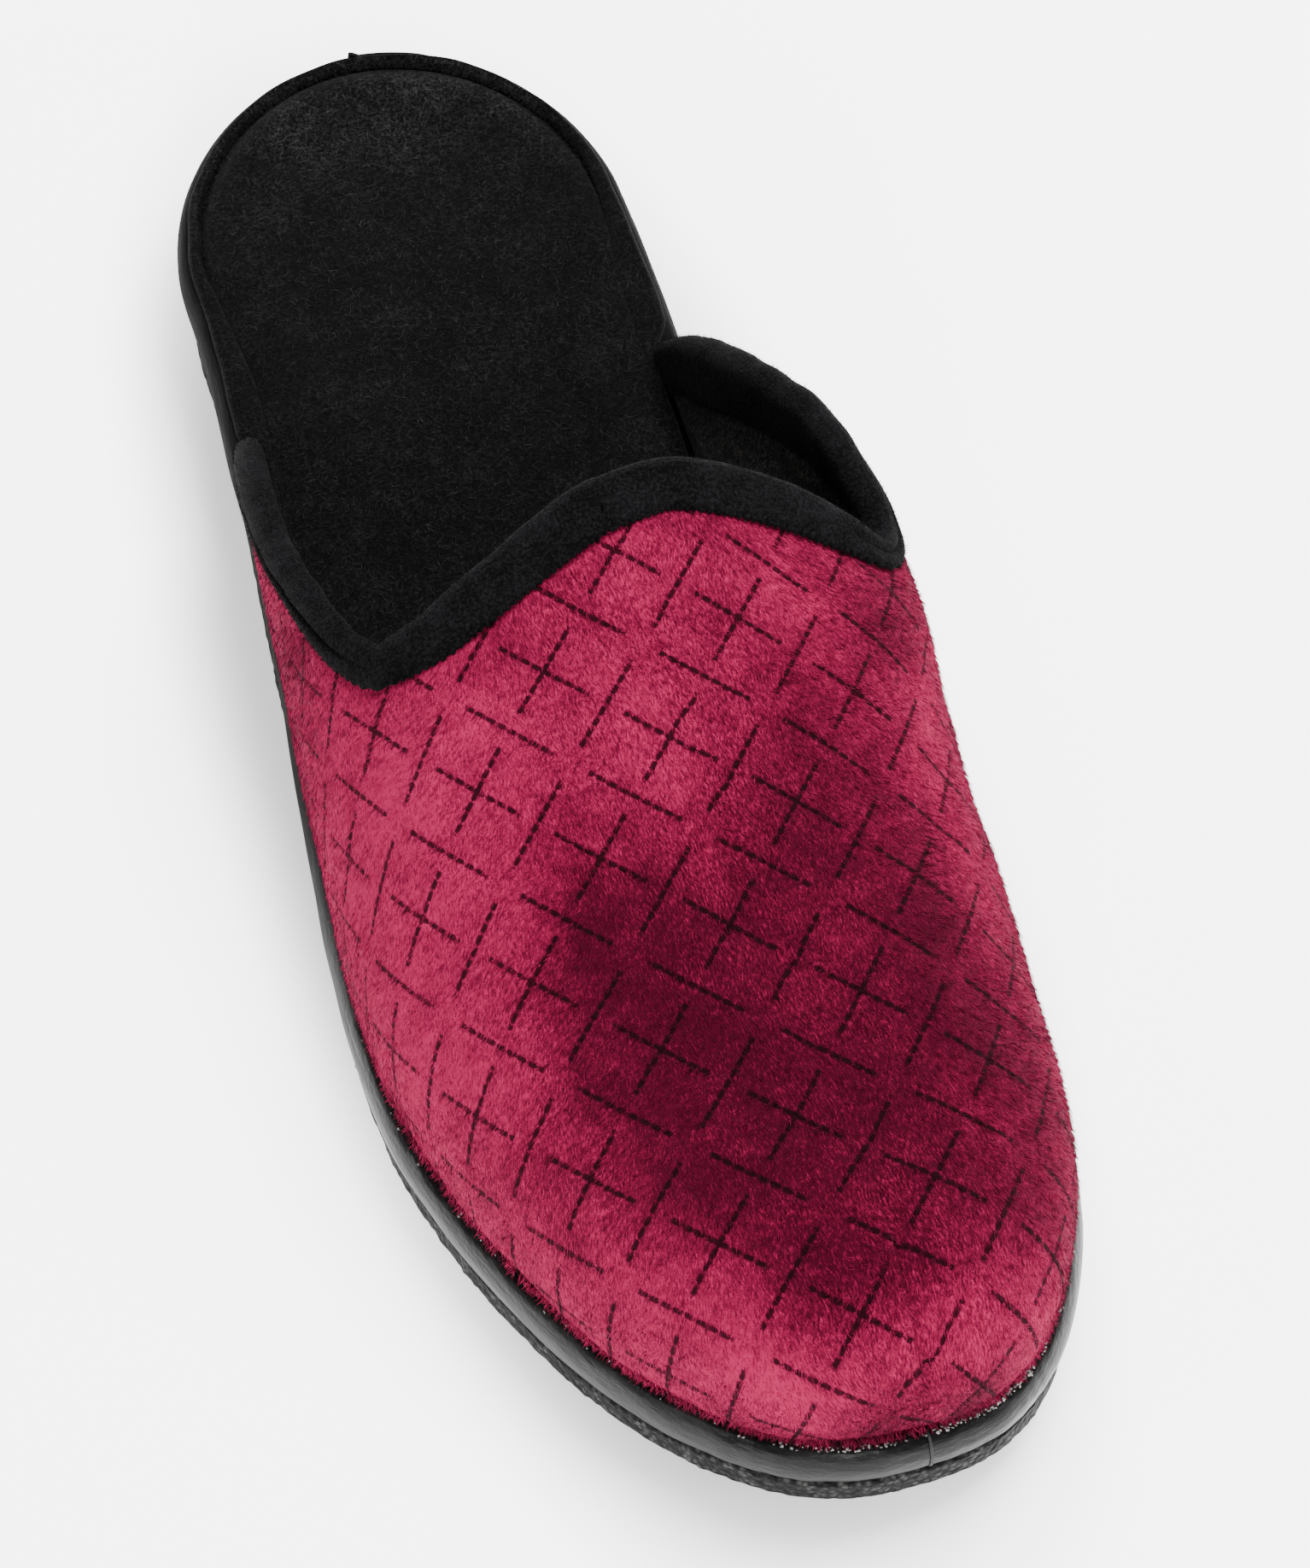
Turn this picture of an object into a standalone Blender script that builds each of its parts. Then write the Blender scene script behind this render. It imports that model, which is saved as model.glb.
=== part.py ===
# Scuff slipper for the right foot, without a heel part: a wrapped platform on a rubber outsole,
# a felt insole, a hollow vamp with two side wings, and a binding over its top edge.
# Metres, +Z up, +Y towards the toe, +X towards the outer side of the foot.
import bmesh
import bpy
import numpy as np

# Plan of the sole
SHOE_LENGTH = 0.283
BALL_WIDTH = 0.104
TOE_SQUARENESS = 2.6      # exponent of the rounded toe, 2 is an ellipse
HEEL_ROUND = 0.390        # length of the round heel end, as a share of the ball width
TOE_ROUND = 0.62          # length of the round toe end, as a share of the ball width

# Heights of the sole
HEEL_RUBBER = 0.015       # outsole height under the heel
FORE_RUBBER = 0.006       # outsole height under the forefoot
BAND_HEIGHT = 0.0092      # satin band round the platform
TOE_SPRING = 0.0077       # lift of the toe tip off the floor
ARCH_RISE = 0.0015        # lift of the sole under the waist

# Outsole
RUBBER_INSET = 0.0012     # outsole side behind the band
RUBBER_CHAMFER = 0.0016   # along the lower edge
GROOVE_DEPTH = 0.0008     # set-back of the outsole just under the band
TREAD_DEPTH = 0.0018
TREAD_WIDTH = 0.0026
TREAD_PITCH = 0.013
TREAD_MARGIN = 0.013      # from the ends of a groove to the sole's side

# Platform rim and insole
RIM_INSET = 0.0022        # depth of the band's bulge, up to where it rolls over the rim
SEAT_HEEL = 0.0038        # where the recess for the insole begins, round the heel
SEAT_DEPTH = 0.0018
SEAT_LIP = 0.0009         # rounded edge of the recess
PAD_GAP = 0.0006          # groove between rim and insole
PAD_CROWN = 0.0012        # padding above the rim
PAD_ROUND = 0.0045        # width of the pad's rounded edge
HEEL_CUP = 0.0016         # how much deeper the heel of the pad is dished

# Upper
FEATHER_INSET = 0.0025    # foot of the upper behind the platform's edge
WALL = 0.0026             # velour, foam and lining together
CROWN_HEIGHT = 0.055      # top of the instep above the platform
RIDGE_SHIFT = 0.009       # ridge line towards the inner side
TOE_TOP = 0.87            # share of the length where the ribs of the toe meet
TOE_BLEND = 0.010         # length over which the ridge slows down to that place
SIDE_ROUND = 0.80         # exponents of a rib's width and height
TOP_ROUND = 0.85
OUTER_SWELL = 0.005       # how far the outer wall swells over its foot
INNER_FLARE = 0.0185      # how far the inner wall leans out

# Binding
BINDING_DEPTH = 0.0085    # length of its legs, along the cloth
BINDING_SKIN = 0.0011
FOLD_ROOM = 0.0012        # between the cloth's edge and the bottom of the fold
LEG_GAP = 0.0005          # between the cloth and the binding's legs
GAP = 0.0003              # clearance between pieces

# The insole's seat under the upper starts where the binding's inner leg ends
SEAT_FRONT = FEATHER_INSET + WALL + LEG_GAP + BINDING_SKIN

STATIONS = 48             # stations along the sole
RIBS = 28                 # rows of the upper from top edge to toe
RIB_POINTS = 18           # points of half a rib
DENSE = 400               # fine stations that the upper's foot is read from

# Shares of the length: the flats that the sole stands on, and the start of the toe spring
HEEL_FLAT_END, BALL_FLAT_START, SPRING_START = 0.30, 0.54, 0.74
# Shares of the length: where the seat changes from the heel's inset to the upper's
SEAT_CHANGE = (0.15, 0.24)
# Shares of the length: first and last groove of the heel and of the forefoot
TREAD_SPANS = [(0.08, 0.24), (0.58, 0.86)]

# share of the length, width as a share of the ball width, centre shift likewise
PLAN = [
    (0.00, 0.707, 0.000),
    (0.15, 0.721, 0.000),
    (0.42, 0.794, 0.043),
    (0.69, 1.000, 0.008),
    (0.86, 0.845, -0.027),
    (1.00, 0.676, -0.059),
]
# share of the length, share of the rise from forefoot to heel
WEDGE = [(0.00, 1.0), (0.25, 1.0), (0.55, 0.0), (1.00, 0.0)]
# Side of the band from its foot up: share of RIM_INSET, share of the band's height
BAND_PROFILE = [
    (1.00, 0.00), (0.40, 0.10), (0.05, 0.32), (0.00, 0.55), (0.23, 0.76), (0.59, 0.91), (1.00, 0.99),
]
# Top of the pad: share of PAD_ROUND, of PAD_CROWN and of HEEL_CUP, scale in X and in Y
PAD_PROFILE = [
    (0.13, 0.25, 0.00, 1.00, 1.00),
    (0.42, 0.90, 0.00, 1.00, 1.00),
    (1.00, 1.00, 0.10, 1.00, 1.00),
    (1.00, 0.90, 0.55, 0.80, 0.92),
    (1.00, 0.70, 1.00, 0.55, 0.82),
]
# share of the length, crown as a share of its height, ridge shift likewise
CREST = [
    (0.25, 1.130, 0.67),
    (0.42, 1.000, 0.89),
    (0.55, 0.855, 1.00),
    (0.70, 0.727, 0.89),
    (0.86, 0.600, 0.66),
    (1.00, 0.545, 0.44),
]
# share of the length, swell of the outer wall and flare of the inner wall as shares
SWELL = [
    (0.25, 0.60, 0.18),
    (0.34, 0.85, 0.52),
    (0.42, 0.98, 0.91),
    (0.48, 1.00, 1.00),
    (0.54, 0.92, 0.84),
    (0.60, 0.78, 0.49),
    (0.66, 0.66, 0.20),
    (0.74, 0.52, 0.05),
    (0.87, 0.40, 0.17),
    (1.00, 0.20, 0.11),
]
# share of the rib height, visible depth of the binding's outer leg as a share
LEG = [(0.00, 0.36), (0.30, 0.40), (0.48, 0.55), (0.62, 0.85), (0.74, 1.00), (1.00, 1.00)]
# Top edge: share of the rib height, share of the length where the cloth begins
OUTER_EDGE = [
    (0.00, 0.268), (0.07, 0.297), (0.17, 0.358), (0.27, 0.425), (0.35, 0.460), (0.42, 0.486),
    (0.50, 0.502), (0.57, 0.506), (0.66, 0.497), (0.75, 0.490), (0.86, 0.479), (1.00, 0.466),
]
INNER_EDGE = [
    (0.00, 0.274), (0.07, 0.297), (0.15, 0.326), (0.22, 0.354), (0.28, 0.382), (0.33, 0.408),
    (0.37, 0.432), (0.40, 0.460), (0.44, 0.484), (0.50, 0.488), (0.60, 0.479), (0.71, 0.470),
    (0.80, 0.464), (0.90, 0.463), (1.00, 0.467),
]


def along(table, column, x):
    """Smooth curve without overshoot through one column of a table, read at x."""
    xs = np.array([row[0] for row in table])
    ys = np.array([row[column] for row in table])
    step = np.diff(xs)
    slope = np.diff(ys) / step
    m = np.zeros(len(xs))
    m[0], m[-1] = slope[0], slope[-1]
    for i in range(1, len(xs) - 1):
        if slope[i - 1] * slope[i] > 0:
            a, b = 2 * step[i] + step[i - 1], step[i] + 2 * step[i - 1]
            m[i] = (a + b) / (a / slope[i - 1] + b / slope[i])
    x = np.clip(x, xs[0], xs[-1])
    k = np.clip(np.searchsorted(xs, x) - 1, 0, len(xs) - 2)
    t = (x - xs[k]) / step[k]
    return ((1 + 2 * t) * (1 - t) ** 2 * ys[k] + t * (1 - t) ** 2 * step[k] * m[k]
            + t * t * (3 - 2 * t) * ys[k + 1] + t * t * (t - 1) * step[k] * m[k + 1])


def share(y):
    """Share of the length at y, 0 at the heel and 1 at the toe."""
    return y / SHOE_LENGTH + 0.5


def ramp(x):
    """Smooth step from 0 to 1."""
    x = np.clip(x, 0, 1)
    return x * x * (3 - 2 * x)


def spread(count):
    """Shares of the length from heel to toe, closer together at both ends."""
    return (1 - np.cos(np.pi * np.linspace(0, 1, count + 1))) / 2


def plan_edge(count, inset=0.0):
    """Edge of the sole, offset inwards: heel to toe on the outer side, then on the inner side.

    The inset is a length, or a function of the share of the length. Returns two arrays of
    points and two of outward normals, each with count + 1 rows.
    """
    s = spread(count)
    half = BALL_WIDTH * along(PLAN, 1, s) / 2
    centre = BALL_WIDTH * along(PLAN, 2, s)
    heel, toe = HEEL_ROUND * BALL_WIDTH, TOE_ROUND * BALL_WIDTH
    from_heel = np.clip(1 - s * SHOE_LENGTH / heel, 0, 1)
    from_toe = np.clip(1 - (1 - s) * SHOE_LENGTH / toe, 0, 1)
    half *= np.sqrt(1 - from_heel ** 2) * (1 - from_toe ** TOE_SQUARENESS) ** (1 / TOE_SQUARENESS)
    y = (s - 0.5) * SHOE_LENGTH
    outer = np.stack([centre + half, y], -1)
    inner = np.stack([centre - half, y], -1)
    loop = np.concatenate([outer, inner[-2:0:-1]])
    run = np.roll(loop, -1, 0) - np.roll(loop, 1, 0)
    normal = np.stack([run[:, 1], -run[:, 0]], -1)
    normal /= np.linalg.norm(normal, axis=1)[:, None]
    depth = inset(share(loop[:, 1]))[:, None] if callable(inset) else inset
    loop = loop - depth * normal
    back = np.concatenate([[0], np.arange(2 * count - 1, count - 1, -1)])
    return (loop[:count + 1], loop[back]), (normal[:count + 1], normal[back])


def seat_inset(extra):
    """Inset of the insole's seat: narrow rim round the open heel, wider under the upper."""
    first, last = SEAT_CHANGE

    def at(s):
        return SEAT_HEEL + (SEAT_FRONT - SEAT_HEEL) * ramp((s - first) / (last - first)) + extra
    return at


def toe_lift(s):
    return TOE_SPRING * np.clip((s - SPRING_START) / (1 - SPRING_START), 0, 1) ** 2


def floor_line(y):
    """Underside of the outsole: flat heel and forefoot, arched waist, sprung toe."""
    s = share(y)
    waist = np.clip((s - HEEL_FLAT_END) / (BALL_FLAT_START - HEEL_FLAT_END), 0, 1)
    return toe_lift(s) + ARCH_RISE * np.sin(np.pi * waist) ** 2


def groove_line(y):
    """Line between the outsole and the band."""
    s = share(y)
    return FORE_RUBBER + (HEEL_RUBBER - FORE_RUBBER) * along(WEDGE, 1, s) + toe_lift(s)


def top_line(y):
    """Top of the platform, where the upper stands."""
    return groove_line(y) + BAND_HEIGHT


FOOT_POINTS, FOOT_NORMALS = plan_edge(DENSE, FEATHER_INSET)
CENTRE_X = BALL_WIDTH * along(PLAN, 2, spread(DENSE))
CENTRE_Y = SHOE_LENGTH * (spread(DENSE) - 0.5)


def shell(t, w):
    """Outer face of the upper.

    t runs along the edge from heel to toe (0 to 1), w round a rib: 0 at the outer edge,
    1 on the ridge, 2 at the inner edge.
    """
    t, w = np.broadcast_arrays(np.clip(t, 0, 1), np.clip(w, 0, 2))
    inner = w > 1
    v = np.where(inner, 2 - w, w)
    grid = np.linspace(0, 1, DENSE + 1)

    def at_foot(rows, axis):
        outer_side, inner_side = (np.interp(t, grid, rows[k][:, axis]) for k in (0, 1))
        return np.where(inner, inner_side, outer_side)

    foot = [at_foot(FOOT_POINTS, axis) for axis in (0, 1)]
    out = [at_foot(FOOT_NORMALS, axis) for axis in (0, 1)]
    toe_y = (TOE_TOP - 0.5) * SHOE_LENGTH
    ridge_y = toe_y - TOE_BLEND * np.log1p(np.exp((toe_y - foot[1]) / TOE_BLEND))
    s = share(ridge_y)
    ridge_x = np.interp(ridge_y, CENTRE_Y, CENTRE_X) - RIDGE_SHIFT * along(CREST, 2, s)
    ridge_z = top_line(ridge_y) + CROWN_HEIGHT * along(CREST, 1, s)
    bulge = v * (1 - v) ** 1.5 / 0.186      # 0.186 is its peak, at v = 0.4
    bulge = bulge * np.where(inner, INNER_FLARE * along(SWELL, 2, s), OUTER_SWELL * along(SWELL, 1, s))
    reach = np.cos(v * np.pi / 2).clip(0, 1) ** SIDE_ROUND
    rise = np.sin(v * np.pi / 2) ** TOP_ROUND
    foot_z = top_line(foot[1]) + GAP
    return np.stack([
        ridge_x + (foot[0] - ridge_x) * reach + out[0] * bulge,
        ridge_y + (foot[1] - ridge_y) * reach + out[1] * bulge,
        foot_z + (ridge_z - foot_z) * rise,
    ], -1)


def edge_start(w):
    """Edge parameter t where the cloth begins, for each place round a rib."""
    s = np.where(w > 1, along(INNER_EDGE, 1, 2 - w), along(OUTER_EDGE, 1, w))
    return np.arccos(1 - 2 * s) / np.pi


def unit(a):
    return a / np.linalg.norm(a, axis=-1, keepdims=True)


def rib_places(count):
    """Places round a rib, spread over the rib and along the top edge, both ways to the ridge."""
    halves = []
    for side in (0, 1):
        v = np.linspace(0, 1, DENSE + 1)
        w = 2 - v if side else v
        run = np.linalg.norm(np.diff(shell(edge_start(w), w), axis=0), axis=-1)
        length = np.concatenate([[0], np.cumsum(run)]) / run.sum()
        halves.append(np.interp(np.linspace(0, 1, count + 1), 0.5 * (length + v), v))
    return np.concatenate([halves[0], 2 - halves[1][-2::-1]])


def shell_frame(t, w):
    """Point, outward normal and the two slopes of the shell at (t, w)."""
    h = 1e-3
    t, w = np.clip(t, 0, 1), np.clip(w, 0, 2)
    lo, hi = np.clip(w - h, 0, 2), np.clip(w + h, 0, 2)
    by_t = (shell(t + h, w) - shell(t - h, w)) / (2 * h)
    by_w = (shell(t, hi) - shell(t, lo)) / (hi - lo)[..., None]
    normal = unit(np.cross(by_t, by_w))
    return shell(t, w), normal, by_t, by_w


def material(name, colour, roughness):
    m = bpy.data.materials.new(name)
    m.use_nodes = True
    p = m.node_tree.nodes["Principled BSDF"]
    p.inputs["Base Color"].default_value = (*colour, 1.0)
    p.inputs["Roughness"].default_value = roughness
    p.inputs["Metallic"].default_value = 0.0
    m.diffuse_color = (*colour, 1.0)
    return m


def new_object(name, bm):
    """Object made from a bmesh, which is freed."""
    mesh = bpy.data.meshes.new(name)
    bm.to_mesh(mesh)
    bm.free()
    obj = bpy.data.objects.new(name, mesh)
    bpy.context.scene.collection.objects.link(obj)
    return obj


def body(name, points, faces, look):
    """Closed body from points and faces, normals outward, shaded smooth."""
    bm = bmesh.new()
    verts = [bm.verts.new(tuple(map(float, p))) for p in points]
    for face in faces:
        bm.faces.new([verts[i] for i in face])
    bmesh.ops.recalc_face_normals(bm, faces=bm.faces)
    obj = new_object(name, bm)
    obj.data.shade_smooth()
    obj.data.materials.append(look)
    return obj


def sole_layer(name, rings, look):
    """Body of rings that follow the sole's edge, from the bottom up.

    A ring is an inset, a height function and, well inside the edge, a scale in X and in Y
    about the middle of the sole. The first and the last ring are closed with faces across.
    """
    n = STATIONS
    points, faces = [], []
    for inset, height, *scale in rings:
        outer, inner = plan_edge(n, inset)[0]
        loop = np.concatenate([outer, inner[-2:0:-1]])
        if scale:
            loop = loop * np.array(scale[0])
        points.extend(np.column_stack([loop, height(loop[:, 1])]))
    size = 2 * n
    for r in range(len(rings) - 1):
        a, b = r * size, (r + 1) * size
        faces += [(a + i, a + (i + 1) % size, b + (i + 1) % size, b + i) for i in range(size)]
    for start in (0, (len(rings) - 1) * size):
        faces.append((start, start + 1, start + size - 1))
        faces += [(start + i, start + i + 1, start + size - i - 1, start + size - i)
                  for i in range(1, n - 1)]
        faces.append((start + n - 1, start + n, start + n + 1))
    return body(name, points, faces, look)


def tread_cutter():
    """Bars that cut the cross grooves of the heel and the forefoot."""
    bm = bmesh.new()
    for first, last in TREAD_SPANS:
        for i in range(int((last - first) * SHOE_LENGTH / TREAD_PITCH) + 1):
            y = (first - 0.5) * SHOE_LENGTH + i * TREAD_PITCH
            s = share(y)
            width = BALL_WIDTH * along(PLAN, 1, s) - 2 * TREAD_MARGIN
            top, bottom = float(floor_line(y)) + TREAD_DEPTH, -2 * TREAD_DEPTH
            for vert in bmesh.ops.create_cube(bm, size=1.0)["verts"]:
                vert.co.x = vert.co.x * width + BALL_WIDTH * float(along(PLAN, 2, s))
                vert.co.y = vert.co.y * TREAD_WIDTH + y
                vert.co.z = top if vert.co.z > 0 else bottom
    cutter = new_object("tread_cutter", bm)
    cutter.hide_render = True
    cutter.display_type = "WIRE"
    return cutter


def outsole(look):
    """Rubber outsole with a chamfered lower edge and cross grooves in heel and forefoot."""
    obj = sole_layer("outsole", [
        (RUBBER_INSET + RUBBER_CHAMFER, floor_line),
        (RUBBER_INSET, lambda y: floor_line(y) + RUBBER_CHAMFER),
        (RUBBER_INSET, lambda y: groove_line(y) - GROOVE_DEPTH),
        (RUBBER_INSET + GROOVE_DEPTH, groove_line),
    ], look)
    cutter = tread_cutter()
    cut = obj.modifiers.new("tread", "BOOLEAN")
    cut.operation = "DIFFERENCE"
    cut.solver = "EXACT"
    cut.object = cutter
    return [obj, cutter]


def midsole(look):
    """Wrapped platform: the band bulges round its side and rolls over the rim."""
    def side(height_share):
        return lambda y: groove_line(y) + GAP + height_share * (BAND_HEIGHT - GAP)

    def below_top(drop):
        return lambda y: top_line(y) - drop

    rings = [(RIM_INSET * inset, side(height)) for inset, height in BAND_PROFILE]
    rings += [
        (seat_inset(-SEAT_LIP), below_top(0.0)),
        (seat_inset(-0.45 * SEAT_LIP), below_top(0.45 * SEAT_LIP)),
        (seat_inset(0.0), below_top(SEAT_DEPTH)),
    ]
    return sole_layer("midsole", rings, look)


def insole(look):
    """Felt pad in the platform's recess, dished at the heel."""
    def level(height, dish=0.0):
        def z(y):
            heel = np.clip(1 - share(y) / 0.42, 0, 1) ** 0.7      # the dish ends at the waist
            return top_line(y) + height - dish * HEEL_CUP * heel
        return z

    rings = [
        (seat_inset(1.5 * PAD_GAP), level(GAP - SEAT_DEPTH)),
        (seat_inset(PAD_GAP), level(-0.5 * SEAT_DEPTH)),
    ]
    for round_share, crown, dish, scale_x, scale_y in PAD_PROFILE:
        inset = seat_inset(PAD_GAP + round_share * PAD_ROUND)
        rings.append((inset, level(crown * PAD_CROWN, dish), (scale_x, scale_y)))
    return sole_layer("insole", rings, look)


def upper(look):
    """Hollow vamp with wings: an outer and an inner skin, joined at the top edge and the foot."""
    m, n = RIB_POINTS, RIBS
    w = rib_places(m)
    u = np.linspace(0, 1, n + 1)[:, None]
    start = edge_start(w)[None, :]
    t = start + (1 - start) * u * (0.4 + 0.6 * u)      # rows closer together at the top edge
    outer, normal, _, _ = shell_frame(t, np.broadcast_to(w, t.shape))
    # The last row is the toe's middle line, where both halves meet
    outer[-1] = 0.5 * (outer[-1] + outer[-1, ::-1])
    normal[-1, m] = normal[-2, m]
    normal[-1] = unit(normal[-1] + normal[-1, ::-1])
    inner = outer - WALL * normal
    inner[:, 0, 2] = outer[:, 0, 2]
    inner[:, -1, 2] = outer[:, -1, 2]

    points, index = [], {}

    def vert(skin, i, j):
        if i == n:
            j = min(j, 2 * m - j)
        key = (skin, i, j)
        if key not in index:
            index[key] = len(points)
            points.append((outer, inner)[skin][i, j])
        return index[key]

    faces = []
    for skin in (0, 1):
        for i in range(n):
            for j in range(2 * m):
                quad = [vert(skin, i, j), vert(skin, i, j + 1), vert(skin, i + 1, j + 1), vert(skin, i + 1, j)]
                faces.append(list(dict.fromkeys(quad)))
    for j in range(2 * m):
        faces.append([vert(0, 0, j), vert(0, 0, j + 1), vert(1, 0, j + 1), vert(1, 0, j)])
    for i in range(n):
        for j in (0, 2 * m):
            faces.append([vert(0, i, j), vert(0, i + 1, j), vert(1, i + 1, j), vert(1, i, j)])
    return body("upper", points, faces, look)


def collar_binding(look):
    """Binding folded over the top edge, cut from the upper's own surface."""
    w = rib_places(2 * RIB_POINTS)
    t = edge_start(w)
    point, normal, by_t, by_w = shell_frame(t, w)
    into = unit(np.cross(unit(np.gradient(point, axis=0)), normal))
    # Steps of t and w that move a point along the cloth, square to the edge
    tt, ww, tw = (by_t * by_t).sum(-1), (by_w * by_w).sum(-1), (by_t * by_w).sum(-1)
    it, iw = (into * by_t).sum(-1), (into * by_w).sum(-1)
    det = tt * ww - tw * tw
    dt, dw = (it * ww - iw * tw) / det, (iw * tt - it * tw) / det
    # At the feet of the wings the legs run level, so they never reach below the cloth
    dw *= ramp(np.minimum(w, 2 - w) / 0.16)
    into = by_t * dt[:, None] + by_w * dw[:, None]
    length = np.linalg.norm(into, axis=-1)
    dt, dw, into = dt / length, dw / length, unit(into)

    def legs(share_of_depth):
        found = []
        for depth in (0.0, 0.33, 0.67, 1.0):
            d = depth * BINDING_DEPTH * share_of_depth
            found.append(shell_frame(t + dt * d, w + dw * d)[:2])
        return found

    outside, lining_side = legs(along(LEG, 1, np.minimum(w, 2 - w))), legs(1.0)
    near, far = LEG_GAP, LEG_GAP + BINDING_SKIN
    middle = point - normal * WALL / 2
    cover = [p + nn * far for p, nn in reversed(outside)]
    lining = [p + nn * near for p, nn in reversed(outside)]
    for angle in np.radians((35, 70, 110, 145)):
        turn = normal * np.cos(angle) - into * np.sin(angle)
        cover.append(middle + (WALL / 2 + far) * turn)
        lining.append(middle + (WALL / 2 + near) * normal * np.cos(angle) - into * FOLD_ROOM)
    cover += [p - nn * (WALL + far) for p, nn in lining_side]
    lining += [p - nn * (WALL + near) for p, nn in lining_side]
    ring = np.stack(cover + lining[::-1], 1)
    ring[..., 2] = np.maximum(ring[..., 2], top_line(ring[..., 1]) + GAP)

    rows, size = ring.shape[:2]
    faces = []
    for r in range(rows - 1):
        a, b = r * size, (r + 1) * size
        faces += [(a + i, a + (i + 1) % size, b + (i + 1) % size, b + i) for i in range(size)]
    for first in (0, (rows - 1) * size):
        faces += [(first + i, first + i + 1, first + size - 2 - i, first + size - 1 - i)
                  for i in range(size // 2 - 1)]
    return body("collar_binding", ring.reshape(-1, 3), faces, look)


def centre_on_floor(objects):
    """Moves the meshes so the whole shoe is centred in X and Y and stands on Z = 0."""
    points = np.array([v.co[:] for o in objects for v in o.data.vertices if not o.hide_render])
    low, high = points.min(0), points.max(0)
    shift = (-(low[0] + high[0]) / 2, -(low[1] + high[1]) / 2, -low[2])
    for o in objects:
        for v in o.data.vertices:
            v.co.x += shift[0]
            v.co.y += shift[1]
            v.co.z += shift[2]


def main():
    for obj in list(bpy.data.objects):
        bpy.data.objects.remove(obj, do_unlink=True)
    rubber = material("rubber_black", (0.012, 0.012, 0.013), 0.75)
    satin = material("satin_band_black", (0.010, 0.010, 0.011), 0.35)
    felt = material("felt_charcoal", (0.011, 0.011, 0.011), 0.95)
    velour = material("velour_burgundy", (0.34, 0.014, 0.070), 0.85)
    plush = material("plush_black", (0.008, 0.008, 0.010), 0.9)
    parts = outsole(rubber)
    parts += [midsole(satin), insole(felt), upper(velour), collar_binding(plush)]
    centre_on_floor(parts)


main()
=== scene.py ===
"""Looks of a scuff slipper: printed velour vamp, plush binding, felt insole and a wrapped sole.

Metres, +Z up, +Y towards the toe, +X towards the outer side of the right foot. Every curved piece reads one
Last, which holds the shoe's own sizes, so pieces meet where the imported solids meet.
"""
import logging
import math
from dataclasses import dataclass, field
from enum import Enum
from typing import Callable, Sequence

import bmesh
import bpy
import numpy as np
from mathutils import Matrix, Vector


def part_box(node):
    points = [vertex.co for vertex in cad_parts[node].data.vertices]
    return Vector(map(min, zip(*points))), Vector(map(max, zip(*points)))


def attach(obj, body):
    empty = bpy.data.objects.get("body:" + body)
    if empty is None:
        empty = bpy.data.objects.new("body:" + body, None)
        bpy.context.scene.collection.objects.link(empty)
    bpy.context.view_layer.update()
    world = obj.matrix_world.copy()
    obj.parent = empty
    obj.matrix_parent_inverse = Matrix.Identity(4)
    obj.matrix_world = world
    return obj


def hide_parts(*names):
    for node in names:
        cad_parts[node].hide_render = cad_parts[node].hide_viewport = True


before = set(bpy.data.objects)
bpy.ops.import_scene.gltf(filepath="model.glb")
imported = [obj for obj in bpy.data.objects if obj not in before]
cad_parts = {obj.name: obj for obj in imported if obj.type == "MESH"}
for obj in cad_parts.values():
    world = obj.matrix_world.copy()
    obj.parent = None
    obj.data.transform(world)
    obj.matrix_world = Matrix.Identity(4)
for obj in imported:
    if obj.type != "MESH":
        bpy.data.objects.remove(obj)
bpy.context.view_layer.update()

MM = 0.001
WELD = 2e-6      # corners closer than this are joined, which closes seams and poles
HAIR_CORNERS = (0.0, 2.094, 4.189)      # a hair's section is a triangle: its corners' angles
log = logging.getLogger("slipper")

# Plan of the sole: share of the length, width as a share of the ball width, centre shift likewise
PLAN = [
    (0.00, 0.707, 0.000), (0.15, 0.721, 0.000), (0.42, 0.794, 0.043),
    (0.69, 1.000, 0.008), (0.86, 0.845, -0.027), (1.00, 0.676, -0.059),
]
# Share of the length, share of the rise from forefoot to heel
WEDGE = [(0.00, 1.0), (0.25, 1.0), (0.55, 0.0), (1.00, 0.0)]
# Share of the length, crown as a share of its height, ridge shift likewise
CREST = [
    (0.25, 1.130, 0.67), (0.42, 1.000, 0.89), (0.55, 0.855, 1.00),
    (0.70, 0.727, 0.89), (0.86, 0.600, 0.66), (1.00, 0.545, 0.44),
]
# Share of the length, swell of the outer wall and flare of the inner wall as shares
SWELL = [
    (0.25, 0.60, 0.18), (0.34, 0.85, 0.52), (0.42, 0.98, 0.91), (0.48, 1.00, 1.00), (0.54, 0.92, 0.84),
    (0.60, 0.78, 0.49), (0.66, 0.66, 0.20), (0.74, 0.52, 0.05), (0.87, 0.40, 0.17), (1.00, 0.20, 0.11),
]
# Share of the rib height, visible depth of the binding's outer leg as a share
LEG = [(0.00, 0.22), (0.15, 0.24), (0.30, 0.27), (0.48, 0.42), (0.62, 0.66), (0.74, 0.74), (1.00, 0.76)]
# Top edge: share of the rib height, share of the length where the cloth begins
OUTER_EDGE = [
    (0.00, 0.266), (0.07, 0.286), (0.17, 0.334), (0.27, 0.388), (0.35, 0.427), (0.42, 0.460),
    (0.50, 0.490), (0.57, 0.504), (0.66, 0.503), (0.75, 0.496), (0.86, 0.484), (1.00, 0.465),
]
INNER_EDGE = [
    (0.00, 0.274), (0.07, 0.297), (0.15, 0.326), (0.22, 0.354), (0.28, 0.382), (0.33, 0.408),
    (0.37, 0.437), (0.40, 0.472), (0.44, 0.510), (0.50, 0.520), (0.60, 0.507), (0.71, 0.487),
    (0.80, 0.473), (0.90, 0.463), (1.00, 0.465),
]

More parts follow.
